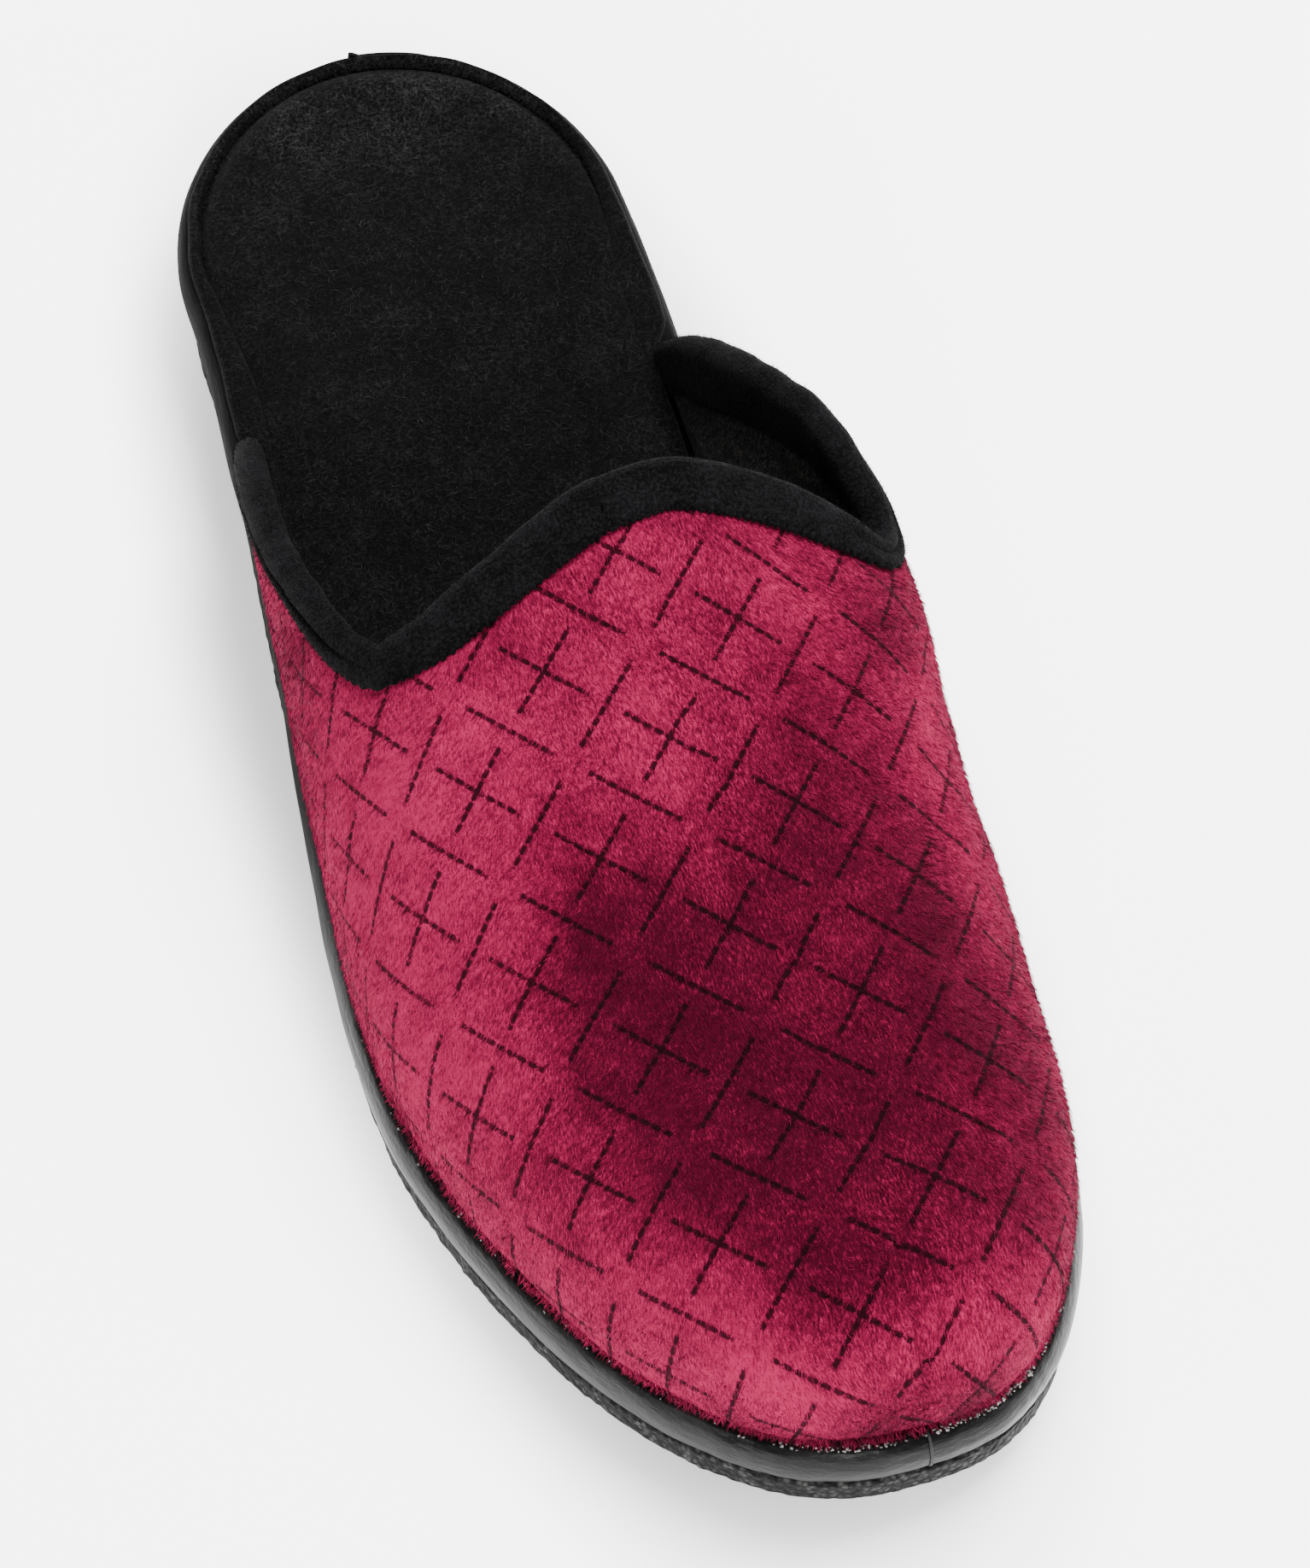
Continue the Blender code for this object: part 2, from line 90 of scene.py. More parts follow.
Array = np.ndarray
Table = Sequence[Sequence[float]]
Height = Callable[[Array], Array]               # a length for each place along the shoe
Surface = Callable[[Array, Array], Array]       # a point for each pair of shares
Inputs = dict[str | int, object]
BMesh = bmesh.types.BMesh
Material = bpy.types.Material
Node = bpy.types.Node
Socket = bpy.types.NodeSocket
Thing = bpy.types.Object


class Slot(str, Enum):
    """Material slots of the record."""

    RUBBER = "outsole_rubber"
    SATIN = "satin_band"
    FELT = "insole_felt"
    VELOUR = "vamp_velour"
    PLUSH = "binding_plush"


def along(table: Table, column: int, x: Array) -> Array:
    """Smooth curve without overshoot through one column of a table.

    Args:
        table: rows whose first column rises.
        column: the column to read.
        x: places in the first column's unit.

    Returns:
        The curve's values at x.
    """
    xs = np.array([row[0] for row in table])
    ys = np.array([row[column] for row in table])
    step = np.diff(xs)
    slope = np.diff(ys) / step
    m = np.zeros(len(xs))
    m[0], m[-1] = slope[0], slope[-1]
    for i in range(1, len(xs) - 1):
        if slope[i - 1] * slope[i] > 0:
            a, b = 2 * step[i] + step[i - 1], step[i] + 2 * step[i - 1]
            m[i] = (a + b) / (a / slope[i - 1] + b / slope[i])
    x = np.clip(x, xs[0], xs[-1])
    k = np.clip(np.searchsorted(xs, x) - 1, 0, len(xs) - 2)
    t = (x - xs[k]) / step[k]
    return ((1 + 2 * t) * (1 - t) ** 2 * ys[k] + t * (1 - t) ** 2 * step[k] * m[k]
            + t * t * (3 - 2 * t) * ys[k + 1] + t * t * (t - 1) * step[k] * m[k + 1])


def unit(a: Array) -> Array:
    """Vectors of length one, along the last axis."""
    return a / np.maximum(np.linalg.norm(a, axis=-1, keepdims=True), 1e-12)


def ramp(x: Array) -> Array:
    """Smooth step from 0 to 1."""
    x = np.clip(x, 0, 1)
    return x * x * (3 - 2 * x)


@dataclass(frozen=True)
class Last:
    """The shoe's form: plan of the sole, its levels, and the surface that the upper follows."""

    length: float = 0.283
    ball_width: float = 0.104
    toe_squareness: float = 2.6
    heel_round: float = 0.390
    toe_round: float = 0.62
    heel_rubber: float = 0.015
    fore_rubber: float = 0.006
    band_height: float = 0.0092
    toe_spring: float = 0.0077
    arch_rise: float = 0.0015
    feather_inset: float = 0.0025
    wall: float = 0.0026
    crown_height: float = 0.055
    ridge_shift: float = 0.009
    toe_top: float = 0.87
    toe_blend: float = 0.010
    side_round: float = 0.80
    top_round: float = 0.85
    outer_swell: float = 0.005
    inner_flare: float = 0.0185
    gap: float = 0.0003
    dense: int = 400

    def share(self, y: Array) -> Array:
        """Share of the length at y, 0 at the heel and 1 at the toe."""
        return y / self.length + 0.5

    def spread(self, count: int) -> Array:
        """Shares of the length from heel to toe, closer together at both ends."""
        return (1 - np.cos(np.pi * np.linspace(0, 1, count + 1))) / 2

    def plan_loop(self, count: int, inset: float | Height = 0.0) -> tuple[Array, Array]:
        """Closed edge of the sole, offset inwards.

        Args:
            count: stations from heel to toe on each side.
            inset: a length, or a function of the share of the length.

        Returns:
            Points and outward normals, 2 * count rows: heel to toe on the outer side, then back.
        """
        s = self.spread(count)
        half = self.ball_width * along(PLAN, 1, s) / 2
        centre = self.ball_width * along(PLAN, 2, s)
        from_heel = np.clip(1 - s * self.length / (self.heel_round * self.ball_width), 0, 1)
        from_toe = np.clip(1 - (1 - s) * self.length / (self.toe_round * self.ball_width), 0, 1)
        half *= np.sqrt(1 - from_heel ** 2)
        half *= (1 - from_toe ** self.toe_squareness) ** (1 / self.toe_squareness)
        y = (s - 0.5) * self.length
        loop = np.concatenate([np.stack([centre + half, y], -1), np.stack([centre - half, y], -1)[-2:0:-1]])
        run = np.roll(loop, -1, 0) - np.roll(loop, 1, 0)
        normal = unit(np.stack([run[:, 1], -run[:, 0]], -1))
        depth = inset(self.share(loop[:, 1]))[:, None] if callable(inset) else inset
        return loop - depth * normal, normal

    def sides(self, count: int, inset: float) -> tuple[list[Array], list[Array]]:
        """Both sides of the edge from heel to toe, as points and as normals: outer side, inner side."""
        loop, normal = self.plan_loop(count, inset)
        back = np.concatenate([[0], np.arange(2 * count - 1, count - 1, -1)])
        return [loop[:count + 1], loop[back]], [normal[:count + 1], normal[back]]

    def toe_lift(self, s: Array) -> Array:
        """Spring of the toe off the floor."""
        return self.toe_spring * np.clip((s - 0.74) / 0.26, 0, 1) ** 2

    def floor_line(self, y: Array) -> Array:
        """Underside of the outsole."""
        s = self.share(y)
        waist = np.clip((s - 0.30) / 0.24, 0, 1)
        return self.toe_lift(s) + self.arch_rise * np.sin(np.pi * waist) ** 2

    def groove_line(self, y: Array) -> Array:
        """Line between the outsole and the band."""
        s = self.share(y)
        rise = (self.heel_rubber - self.fore_rubber) * along(WEDGE, 1, s)
        return self.fore_rubber + rise + self.toe_lift(s)

    def top_line(self, y: Array) -> Array:
        """Top of the platform, where the upper stands."""
        return self.groove_line(y) + self.band_height

    def centre_x(self, y: Array) -> Array:
        """Middle of the sole at y."""
        s = self.spread(self.dense)
        return np.interp(y, (s - 0.5) * self.length, self.ball_width * along(PLAN, 2, s))

    def shell(self, t: Array, w: Array) -> Array:
        """Outer face of the upper.

        Args:
            t: place along the edge from heel to toe, 0 to 1.
            w: place round a rib, 0 at the outer edge, 1 on the ridge, 2 at the inner edge.

        Returns:
            Points, with a last axis of three.
        """
        t, w = np.broadcast_arrays(np.clip(t, 0, 1), np.clip(w, 0, 2))
        inner = w > 1
        v = np.where(inner, 2 - w, w)
        grid = np.linspace(0, 1, self.dense + 1)
        points, normals = self.sides(self.dense, self.feather_inset)

        def read(rows: list[Array], axis: int) -> Array:
            """One coordinate at the rib's own side."""
            outer_side, inner_side = (np.interp(t, grid, rows[k][:, axis]) for k in (0, 1))
            return np.where(inner, inner_side, outer_side)

        foot = [read(points, axis) for axis in (0, 1)]
        out = [read(normals, axis) for axis in (0, 1)]
        toe_y = (self.toe_top - 0.5) * self.length
        ridge_y = toe_y - self.toe_blend * np.log1p(np.exp((toe_y - foot[1]) / self.toe_blend))
        s = self.share(ridge_y)
        ridge_x = self.centre_x(ridge_y) - self.ridge_shift * along(CREST, 2, s)
        ridge_z = self.top_line(ridge_y) + self.crown_height * along(CREST, 1, s)
        bulge = v * (1 - v) ** 1.5 / 0.186      # 0.186 is its peak, at v = 0.4
        flare, swell = self.inner_flare * along(SWELL, 2, s), self.outer_swell * along(SWELL, 1, s)
        bulge = bulge * np.where(inner, flare, swell)
        reach = np.cos(v * np.pi / 2).clip(0, 1) ** self.side_round
        rise = np.sin(v * np.pi / 2) ** self.top_round
        foot_z = self.top_line(foot[1]) + self.gap
        return np.stack([
            ridge_x + (foot[0] - ridge_x) * reach + out[0] * bulge,
            ridge_y + (foot[1] - ridge_y) * reach + out[1] * bulge,
            foot_z + (ridge_z - foot_z) * rise,
        ], -1)

    def shell_frame(self, t: Array, w: Array) -> tuple[Array, Array, Array, Array]:
        """Point, outward normal and the slopes of the shell by t and by w.

        Args:
            t: place along the sole's edge, as in shell.
            w: place round a rib, as in shell.

        Returns:
            Points, unit normals, slopes by t and slopes by w.
        """
        h = 1e-3
        t, w = np.clip(t, 0, 1), np.clip(w, 0, 2)
        lo, hi = np.clip(w - h, 0, 2), np.clip(w + h, 0, 2)
        by_t = (self.shell(t + h, w) - self.shell(t - h, w)) / (2 * h)
        by_w = (self.shell(t, hi) - self.shell(t, lo)) / (hi - lo)[..., None]
        return self.shell(t, w), unit(np.cross(by_t, by_w)), by_t, by_w

    def edge_start(self, w: Array) -> Array:
        """Edge parameter t where the cloth begins, for each place round a rib."""
        s = np.where(w > 1, along(INNER_EDGE, 1, 2 - w), along(OUTER_EDGE, 1, w))
        return np.arccos(1 - 2 * s) / np.pi

    def rib_places(self, count: int) -> Array:
        """Places round a rib, spread over the rib and along the top edge: 2 * count + 1 values.

        Args:
            count: steps on each side of the ridge.

        Returns:
            The places, from the outer edge to the inner edge.
        """
        halves = []
        for side in (0, 1):
            v = np.linspace(0, 1, self.dense + 1)
            w = 2 - v if side else v
            run = np.linalg.norm(np.diff(self.shell(self.edge_start(w), w), axis=0), axis=-1)
            length = np.concatenate([[0], np.cumsum(run)]) / run.sum()
            halves.append(np.interp(np.linspace(0, 1, count + 1), 0.5 * (length + v), v))
        return np.concatenate([halves[0], 2 - halves[1][-2::-1]])


LAST = Last()


def frame_shift() -> Vector:
    """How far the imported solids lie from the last's own axes, read from the platform's box."""
    low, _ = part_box("midsole")
    loop, _ = LAST.plan_loop(LAST.dense)
    return Vector((low.x - float(loop[:, 0].min()), 0.0, 0.0))


SHIFT = frame_shift()


@dataclass
class FlatCloth:
    """The vamp's cloth laid flat, as it was cut, so that a print on it bends with the shoe.

    The cloth is relaxed from the lasted shape to a flat one that keeps its lengths as far as it can:
    each triangle finds the turn that fits it best, then all of them agree on their corners.
    """

    rows: int = 40
    ribs: int = 38
    rounds: int = 30
    flat: Array = field(init=False)
    places: Array = field(init=False)

    def __post_init__(self) -> None:
        """Relaxes the cloth."""
        n, m = self.rows, self.ribs
        self.places = LAST.rib_places(m)
        u = np.linspace(0, 1, n + 1)
        points = lasted(u[:, None], self.places[None, :])
        index = np.arange((n + 1) * (2 * m + 1)).reshape(n + 1, 2 * m + 1)
        index[n, m + 1:] = index[n, m - 1::-1]
        used, weld = np.unique(index, return_inverse=True)
        weld = weld.reshape(index.shape)
        solid = points.reshape(-1, 3)[used]
        quads = np.stack([weld[:-1, :-1], weld[:-1, 1:], weld[1:, 1:], weld[1:, :-1]], -1).reshape(-1, 4)
        tris = np.concatenate([quads[:, [0, 1, 2]], quads[:, [0, 2, 3]]])
        tris = tris[(tris[:, 0] != tris[:, 1]) & (tris[:, 1] != tris[:, 2]) & (tris[:, 0] != tris[:, 2])]
        self.flat = self.relax(solid, tris)[weld]

    def relax(self, solid: Array, tris: Array) -> Array:
        """Flat places of the cloth's corners, in metres.

        Args:
            solid: the lasted cloth's corners.
            tris: its triangles, by corner.

        Returns:
            Places round the flat cloth's own middle.
        """
        corner = solid[tris]
        e1, e2 = corner[:, 1] - corner[:, 0], corner[:, 2] - corner[:, 0]
        length = np.linalg.norm(e1, axis=1)
        x2 = (e1 * e2).sum(1) / length
        y2 = np.linalg.norm(np.cross(e1, e2), axis=1) / length
        rest = np.zeros((len(tris), 3, 2))
        rest[:, 1, 0], rest[:, 2, 0], rest[:, 2, 1] = length, x2, y2
        count = len(solid)
        weight = []
        matrix = np.zeros((count, count))
        for k in range(3):
            i, j, o = k, (k + 1) % 3, (k + 2) % 3
            a, b = rest[:, i] - rest[:, o], rest[:, j] - rest[:, o]
            cot = (a * b).sum(1) / np.abs(a[:, 0] * b[:, 1] - a[:, 1] * b[:, 0])
            cot = np.clip(cot, 0.02, 20)
            weight.append(cot)
            for row, column, sign in ((i, i, 1), (j, j, 1), (i, j, -1), (j, i, -1)):
                np.add.at(matrix, (tris[:, row], tris[:, column]), sign * cot)
        matrix[0, 0] += 1.0
        solve = np.linalg.inv(matrix)
        flat = solid[:, :2] * [1.35, 1.1]
        # The flat cloth is seen from outside, so triangles must not turn over
        a, b = flat[tris[:, 1]] - flat[tris[:, 0]], flat[tris[:, 2]] - flat[tris[:, 0]]
        rest[:, :, 1] *= np.sign((a[:, 0] * b[:, 1] - a[:, 1] * b[:, 0]).sum())
        for _ in range(self.rounds):
            across = np.zeros((len(tris), 2))
            for k in range(3):
                i, j = k, (k + 1) % 3
                d = flat[tris[:, i]] - flat[tris[:, j]]
                r = rest[:, i] - rest[:, j]
                across[:, 0] += weight[k] * (d * r).sum(1)
                across[:, 1] += weight[k] * (d[:, 1] * r[:, 0] - d[:, 0] * r[:, 1])
            turn = unit(across)
            pull = np.zeros((count, 2))
            for k in range(3):
                i, j = k, (k + 1) % 3
                r = rest[:, i] - rest[:, j]
                turned = np.stack([turn[:, 0] * r[:, 0] - turn[:, 1] * r[:, 1],
                                   turn[:, 1] * r[:, 0] + turn[:, 0] * r[:, 1]], -1) * weight[k][:, None]
                np.add.at(pull, tris[:, i], turned)
                np.add.at(pull, tris[:, j], -turned)
            flat = solve @ pull
        return flat - flat.mean(0)

    def at(self, u: Array, w: Array) -> Array:
        """Flat place of the cloth at row share u and rib place w, in metres.

        Args:
            u: share of the rows, 0 at the top edge.
            w: place round a rib, 0 to 2.

        Returns:
            Flat places, with a last axis of two.
        """
        rows = np.clip(u, 0, 1) * self.rows
        cols = np.interp(w, self.places, np.arange(len(self.places)))
        i = np.minimum(rows.astype(int), self.rows - 1)
        j = np.minimum(cols.astype(int), len(self.places) - 2)
        p, q = (rows - i)[..., None], (cols - j)[..., None]
        f = self.flat
        return ((f[i, j] * (1 - q) + f[i, j + 1] * q) * (1 - p)
                + (f[i + 1, j] * (1 - q) + f[i + 1, j + 1] * q) * p)


def row_parameter(u: Array, w: Array) -> Array:
    """Edge parameter t of row share u, from the top edge (0) to the toe's middle line (1)."""
    start = LAST.edge_start(w)
    return start + (1 - start) * u * (0.4 + 0.6 * u)


def lasted(u: Array, w: Array) -> Array:
    """Outer face of the vamp by row share and rib place, with both halves joined on the toe's middle."""
    u, w = np.broadcast_arrays(u, w)
    points = LAST.shell(row_parameter(u, w), w)
    mirrored = LAST.shell(row_parameter(u, 2 - w), 2 - w)
    last_row = (u >= 1.0 - 1e-9)[..., None]
    return np.where(last_row, 0.5 * (points + mirrored), points)


def ripple(points: Array, wavelength: float, seed: int) -> Array:
    """Smooth uneven field over points, about -1 to 1, from a few plane waves.

    Args:
        points: places, last axis of three.
        wavelength: typical distance between two crests, in metres.
        seed: picks the waves.

    Returns:
        One value for each point.
    """
    waves = 9
    rng = np.random.default_rng(seed)
    directions = unit(rng.normal(size=(waves, 3)))
    lengths = wavelength * rng.uniform(0.7, 1.5, waves)
    phases = rng.uniform(0, 2 * np.pi, waves)
    total = np.zeros(points.shape[:-1])
    for direction, length, phase in zip(directions, lengths, phases):
        total += np.sin(points @ direction * (2 * np.pi / length) + phase)
    return total / math.sqrt(waves) / 1.4


def add_object(name: str, data: bpy.types.ID) -> Thing:
    """Object with the given data, in the scene."""
    obj = bpy.data.objects.new(name, data)
    bpy.context.scene.collection.objects.link(obj)
    return obj


def thicken(obj: Thing, thickness: float, offset: float) -> None:
    """Gives a skin its thickness: inwards for an offset of -1, to both sides for 0."""
    solid = obj.modifiers.new("wall", "SOLIDIFY")
    solid.thickness = thickness
    solid.offset = offset


def link_object(name: str, bm: BMesh) -> Thing:
    """Object made from a bmesh, smooth-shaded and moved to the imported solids' place; the bmesh is freed.

    Args:
        name: the object's name.
        bm: its mesh, in the last's own axes.

    Returns:
        The object.
    """
    bmesh.ops.translate(bm, verts=bm.verts, vec=SHIFT)
    mesh = bpy.data.meshes.new(name)
    bm.to_mesh(mesh)
    bm.free()
    mesh.shade_smooth()
    return add_object(name, mesh)


def grid_bmesh(rows: int, cols: int, place: Surface,
               charts: dict[str, Surface] | None = None) -> BMesh:
    """Grid laid over a surface.

    Args:
        rows: faces along u.
        cols: faces along v.
        place: gives a point for each (u, v), both 0 to 1.
        charts: named vectors of three that each corner keeps, as functions of (u, v).

    Returns:
        The bmesh, with its normals outwards where the surface is closed.
    """
    bm = bmesh.new()
    bmesh.ops.create_grid(bm, x_segments=rows, y_segments=cols, size=0.5)
    uv = np.array([vert.co[:2] for vert in bm.verts]) + 0.5
    points = place(uv[:, 0], uv[:, 1])
    for name, chart in (charts or {}).items():
        layer = bm.verts.layers.float_vector.new(name)
        for vert, value in zip(bm.verts, chart(uv[:, 0], uv[:, 1])):
            vert[layer] = value
    for vert, point in zip(bm.verts, points):
        vert.co = point
    bmesh.ops.remove_doubles(bm, verts=bm.verts, dist=WELD)
    bmesh.ops.recalc_face_normals(bm, faces=bm.faces)
    return bm


class Tree:
    """Node tree of one material."""

    # The attribute that holds a node's mode, for each kind that is given with one
    modes = {"Math": "operation", "VectorMath": "operation", "MapRange": "interpolation_type",
             "Mix": "data_type"}

    def __init__(self, name: str) -> None:
        """Starts a material with a Principled shader joined to its output."""
        self.material = bpy.data.materials.new(name)
        self.material.use_nodes = True
        self.nodes = self.material.node_tree.nodes
        self.shader = self.nodes["Principled BSDF"]

    def add(self, kind: str, inputs: Inputs | tuple[object, ...] = (), out: int | str = 0,
            **settings: object) -> Socket:
        """Adds a node.

        Args:
            kind: the end of its type name, and after a dot its mode.
            inputs: values, or sockets that are linked, in order or by input name or number.
            out: the output that is returned, by name or number.
            settings: further attributes of the node.

        Returns:
            The output's socket.
        """
        kind, _, mode = kind.partition(".")
        made = self.nodes.new("ShaderNode" + kind)
        if mode:
            settings[self.modes[kind]] = mode
        for name, value in settings.items():
            setattr(made, name, value)
        self.feed(made, inputs if isinstance(inputs, dict) else dict(enumerate(inputs)))
        return made.outputs[out]

    def feed(self, target: Node, inputs: Inputs) -> None:
        """Sets or links a node's inputs."""
        for name, value in inputs.items():
            if isinstance(value, Socket):
                self.material.node_tree.links.new(value, target.inputs[name])
            else:
                target.inputs[name].default_value = value

    def sway(self, pattern: object, amount: float, base: object) -> Socket:
        """Base value, moved by an amount times how far a pattern lies from its middle."""
        return self.add("Math.MULTIPLY_ADD", (self.add("Math.SUBTRACT", (pattern, 0.5)), amount, base))

    def bent(self, vector: object, wavelength: float, amount: tuple[float, float, float],
             middle: float = 0.0) -> Socket:
        """Vector moved unevenly.

        Args:
            vector: the places that a pattern reads.
            wavelength: distance between two swirls, in the unit of the vector.
            amount: how far it moves on each axis.
            middle: value of the swirls that leaves the vector as it is.

        Returns:
            The moved vector.
        """
        noise = {"Vector": vector, "Scale": 1 / wavelength, "Detail": 2.0}
        swirl = self.add("VectorMath.SUBTRACT", (self.add("TexNoise", noise, "Color"), (middle,) * 3))
        return self.add("VectorMath.MULTIPLY_ADD", (swirl, amount, vector))

    def stretched(self, vector: object, size: tuple[float, float, float], angle: float = 0.0) -> Socket:
        """Vector turned by an angle about Z and divided by a size on each axis."""
        turned = self.add("Mapping", {"Vector": vector, "Rotation": (0.0, 0.0, angle)})
        return self.add("Mapping", {"Vector": turned, "Scale": tuple(1.0 / s for s in size)})


def srgb(code: str) -> tuple[float, float, float, float]:
    """Linear colour of an sRGB hex value such as #a03050."""
    values = [int(code[i:i + 2], 16) / 255 for i in (1, 3, 5)]
    red, green, blue = (v / 12.92 if v <= 0.04045 else ((v + 0.055) / 1.055) ** 2.4 for v in values)
    return red, green, blue, 1.0


@dataclass(frozen=True)
class Velour:
    """Polyester velour, knitted with a short pile and printed: the pile lies in streaks and brushed
    patches, light where it leans away and dark where it stands up, and it glows at grazing angles."""

    dark: str = "#3a0216"
    mid: str = "#6c0d2e"
    light: str = "#9c1d48"
    ink: str = "#0e0206"
    check: float = 22.6            # pitch of the print, mm
    dash: float = 0.365            # half length of a dash, in checks
    line: float = 0.85             # width of a dash, mm
    mark: float = 2.0              # pitch of the thick and thin marks of a dash, mm
    streak_width: float = 0.27     # lock of pile, mm
    streak_length: float = 1.15
    pile: float = 0.00075          # height of the pile that shows, metres

    def dashes(self, tree: Tree, across: object, lengthways: object, grain: object) -> Socket:
        """Mask of one set of dashes, which lie on every half check across and are centred on every
        whole check lengthways.

        Args:
            tree: the material's nodes.
            across: place on the print across the dashes.
            lengthways: place along them.
            grain: noise that makes their edges ragged.

        Returns:
            The mask, 1 on the ink.
        """
        doubled = tree.add("Math.MULTIPLY", (across, 2.0))
        off = tree.add("Math.MULTIPLY", (tree.add("Math.PINGPONG", (doubled, 0.5)), 0.5))
        end = tree.add("Math.PINGPONG", (lengthways, 0.5))
        count = tree.add("Math.MULTIPLY", (lengthways, self.check / self.mark))
        marks = tree.add("Math.PINGPONG", (tree.add("Math.ADD", (grain, count)), 0.5))
        half = self.line / self.check / 2
        thick = tree.add("MapRange.SMOOTHSTEP", (marks, 0.04, 0.17))
        width = tree.sway(grain, half * 1.3, tree.add("Math.MULTIPLY_ADD", (thick, half * 0.92, half * 0.04)))
        beyond = tree.add("Math.SUBTRACT", (off, width))
        inside = tree.add("MapRange.SMOOTHSTEP", (beyond, -half * 0.35, half * 0.45, 1.0, 0.0))
        ended = tree.add("MapRange.SMOOTHSTEP", (end, self.dash - 0.012, self.dash + 0.008, 1.0, 0.0))
        return tree.add("Math.MULTIPLY", (inside, ended))

    def make(self) -> Material:
        """Builds the material."""
        tree = Tree("printed_velour")
        cloth, check, nap = (tree.add("Attribute", out="Vector", attribute_name=name)
                             for name in ("cloth", "check", "nap"))
        tone, outer, inner = (tree.add("SeparateXYZ", (nap,), letter) for letter in "XYZ")
        bent = tree.bent(cloth, 9.0, (3.0, 3.0, 0.0), 0.5)
        # Locks of pile lean outwards from the ridge: one set of streaks for each side and one for the middle
        middle = tree.add("Math.SUBTRACT", (1.0, tree.add("Math.ADD", (outer, inner))))
        streaks: object = 0.0
        for degrees, weight in ((28, outer), (-28, inner), (0, middle)):
            lean = tree.stretched(bent, (self.streak_width, self.streak_length, 1.0), math.radians(degrees))
            lock = tree.add("TexNoise", {"Vector": lean, "Scale": 1.0, "Detail": 3.0, "Roughness": 0.62})
            streaks = tree.add("Math.MULTIPLY_ADD", (lock, weight, streaks))
        clump = tree.add("TexNoise", {"Vector": bent, "Scale": 1 / 2.6, "Detail": 3.0, "Roughness": 0.6})
        patch = tree.add("TexNoise", {"Vector": bent, "Scale": 1 / 11.0, "Detail": 4.0, "Roughness": 0.62,
                                      "Distortion": 0.4})
        fine = tree.add("TexNoise", {"Vector": cloth, "Scale": 1 / 0.30, "Detail": 2.0, "Roughness": 0.7})
        level = tree.add("Math.MULTIPLY_ADD", (tone, 0.42, 0.5))
        for pattern, amount in ((patch, 0.8), (clump, 0.50), (streaks, 2.6), (fine, 1.2)):
            level = tree.sway(pattern, amount, level)
        shades = tree.add("ValToRGB", {"Fac": level})
        stops = shades.node.color_ramp.elements
        stops.new(0.50)
        for stop, position, code in zip(stops, (0.02, 0.50, 0.94), (self.dark, self.mid, self.light)):
            stop.position = position
            stop.color = srgb(code)
        place = [tree.add("SeparateXYZ", (check,), letter) for letter in "XY"]
        first, second = (tree.sway(pattern, 0.012, at) for pattern, at in zip((fine, clump), place))
        mask = self.dashes(tree, first, second, fine)
        mask = tree.add("Math.MAXIMUM", (self.dashes(tree, second, first, fine), mask))
        crossing = tree.add("Math.ADD", tuple(tree.add("Math.PINGPONG", (at, 0.5)) for at in place))
        crossing = tree.add("MapRange.SMOOTHSTEP", (crossing, 0.030, 0.050, 1.0, 0.0))
        mask = tree.add("Math.MAXIMUM", (mask, crossing))
        cover = tree.add("MapRange.SMOOTHSTEP", (streaks, 0.22, 0.54, 0.66, 0.95))
        mask = tree.add("Math.MULTIPLY", (mask, cover))
        colour = tree.add("Mix.RGBA", {0: mask, 6: shades, 7: srgb(self.ink)}, 2)
        bump = tree.add("Bump", {"Height": clump, "Distance": self.pile * 1.2, "Strength": 0.75})
        bump = tree.add("Bump", {"Height": streaks, "Distance": self.pile, "Strength": 0.9, "Normal": bump})
        bump = tree.add("Bump", {"Height": fine, "Distance": self.pile * 0.35, "Strength": 0.6,
                                 "Normal": bump})
        tree.feed(tree.shader, {"Base Color": colour, "Roughness": 0.85, "IOR": 1.5,
                                "Specular IOR Level": 0.03, "Sheen Weight": 0.06, "Sheen Roughness": 0.4,
                                "Sheen Tint": srgb("#e07a98"), "Normal": bump})
        return tree.material


@dataclass(frozen=True)
class Plush:
    """Black polyester plush tape: very dark, faintly blue, with a soft rim of light."""

    name: str = "plush_tape_black"
    base: str = "#030303"
    lifted: str = "#171618"
    grain: float = 0.0005
    sheen: float = 0.03

    def make(self) -> Material:
        """Builds the material."""
        tree = Tree(self.name)
        place = tree.add("TexCoord", out="Object")
        tuft = tree.add("TexNoise", {"Vector": place, "Scale": 1 / self.grain, "Detail": 3.0,
                                     "Roughness": 0.65})
        lump = tree.add("TexNoise", {"Vector": place, "Scale": 1 / 0.006, "Detail": 3.0, "Roughness": 0.6})
        mix = tree.sway(lump, 1.1, tree.add("MapRange.SMOOTHSTEP", (tuft, 0.35, 0.75)))
        colour = tree.add("Mix.RGBA", {0: mix, 6: srgb(self.base), 7: srgb(self.lifted)}, 2)
        bump = tree.add("Bump", {"Height": lump, "Distance": 0.0012, "Strength": 0.5})
        bump = tree.add("Bump", {"Height": tuft, "Distance": 0.0008, "Strength": 1.0, "Normal": bump})
        tree.feed(tree.shader, {"Base Color": colour, "Roughness": 0.9, "Specular IOR Level": 0.04,
                                "Sheen Weight": self.sheen, "Sheen Roughness": 0.35,
                                "Sheen Tint": srgb("#a09ca4"), "Normal": bump})
        return tree.material


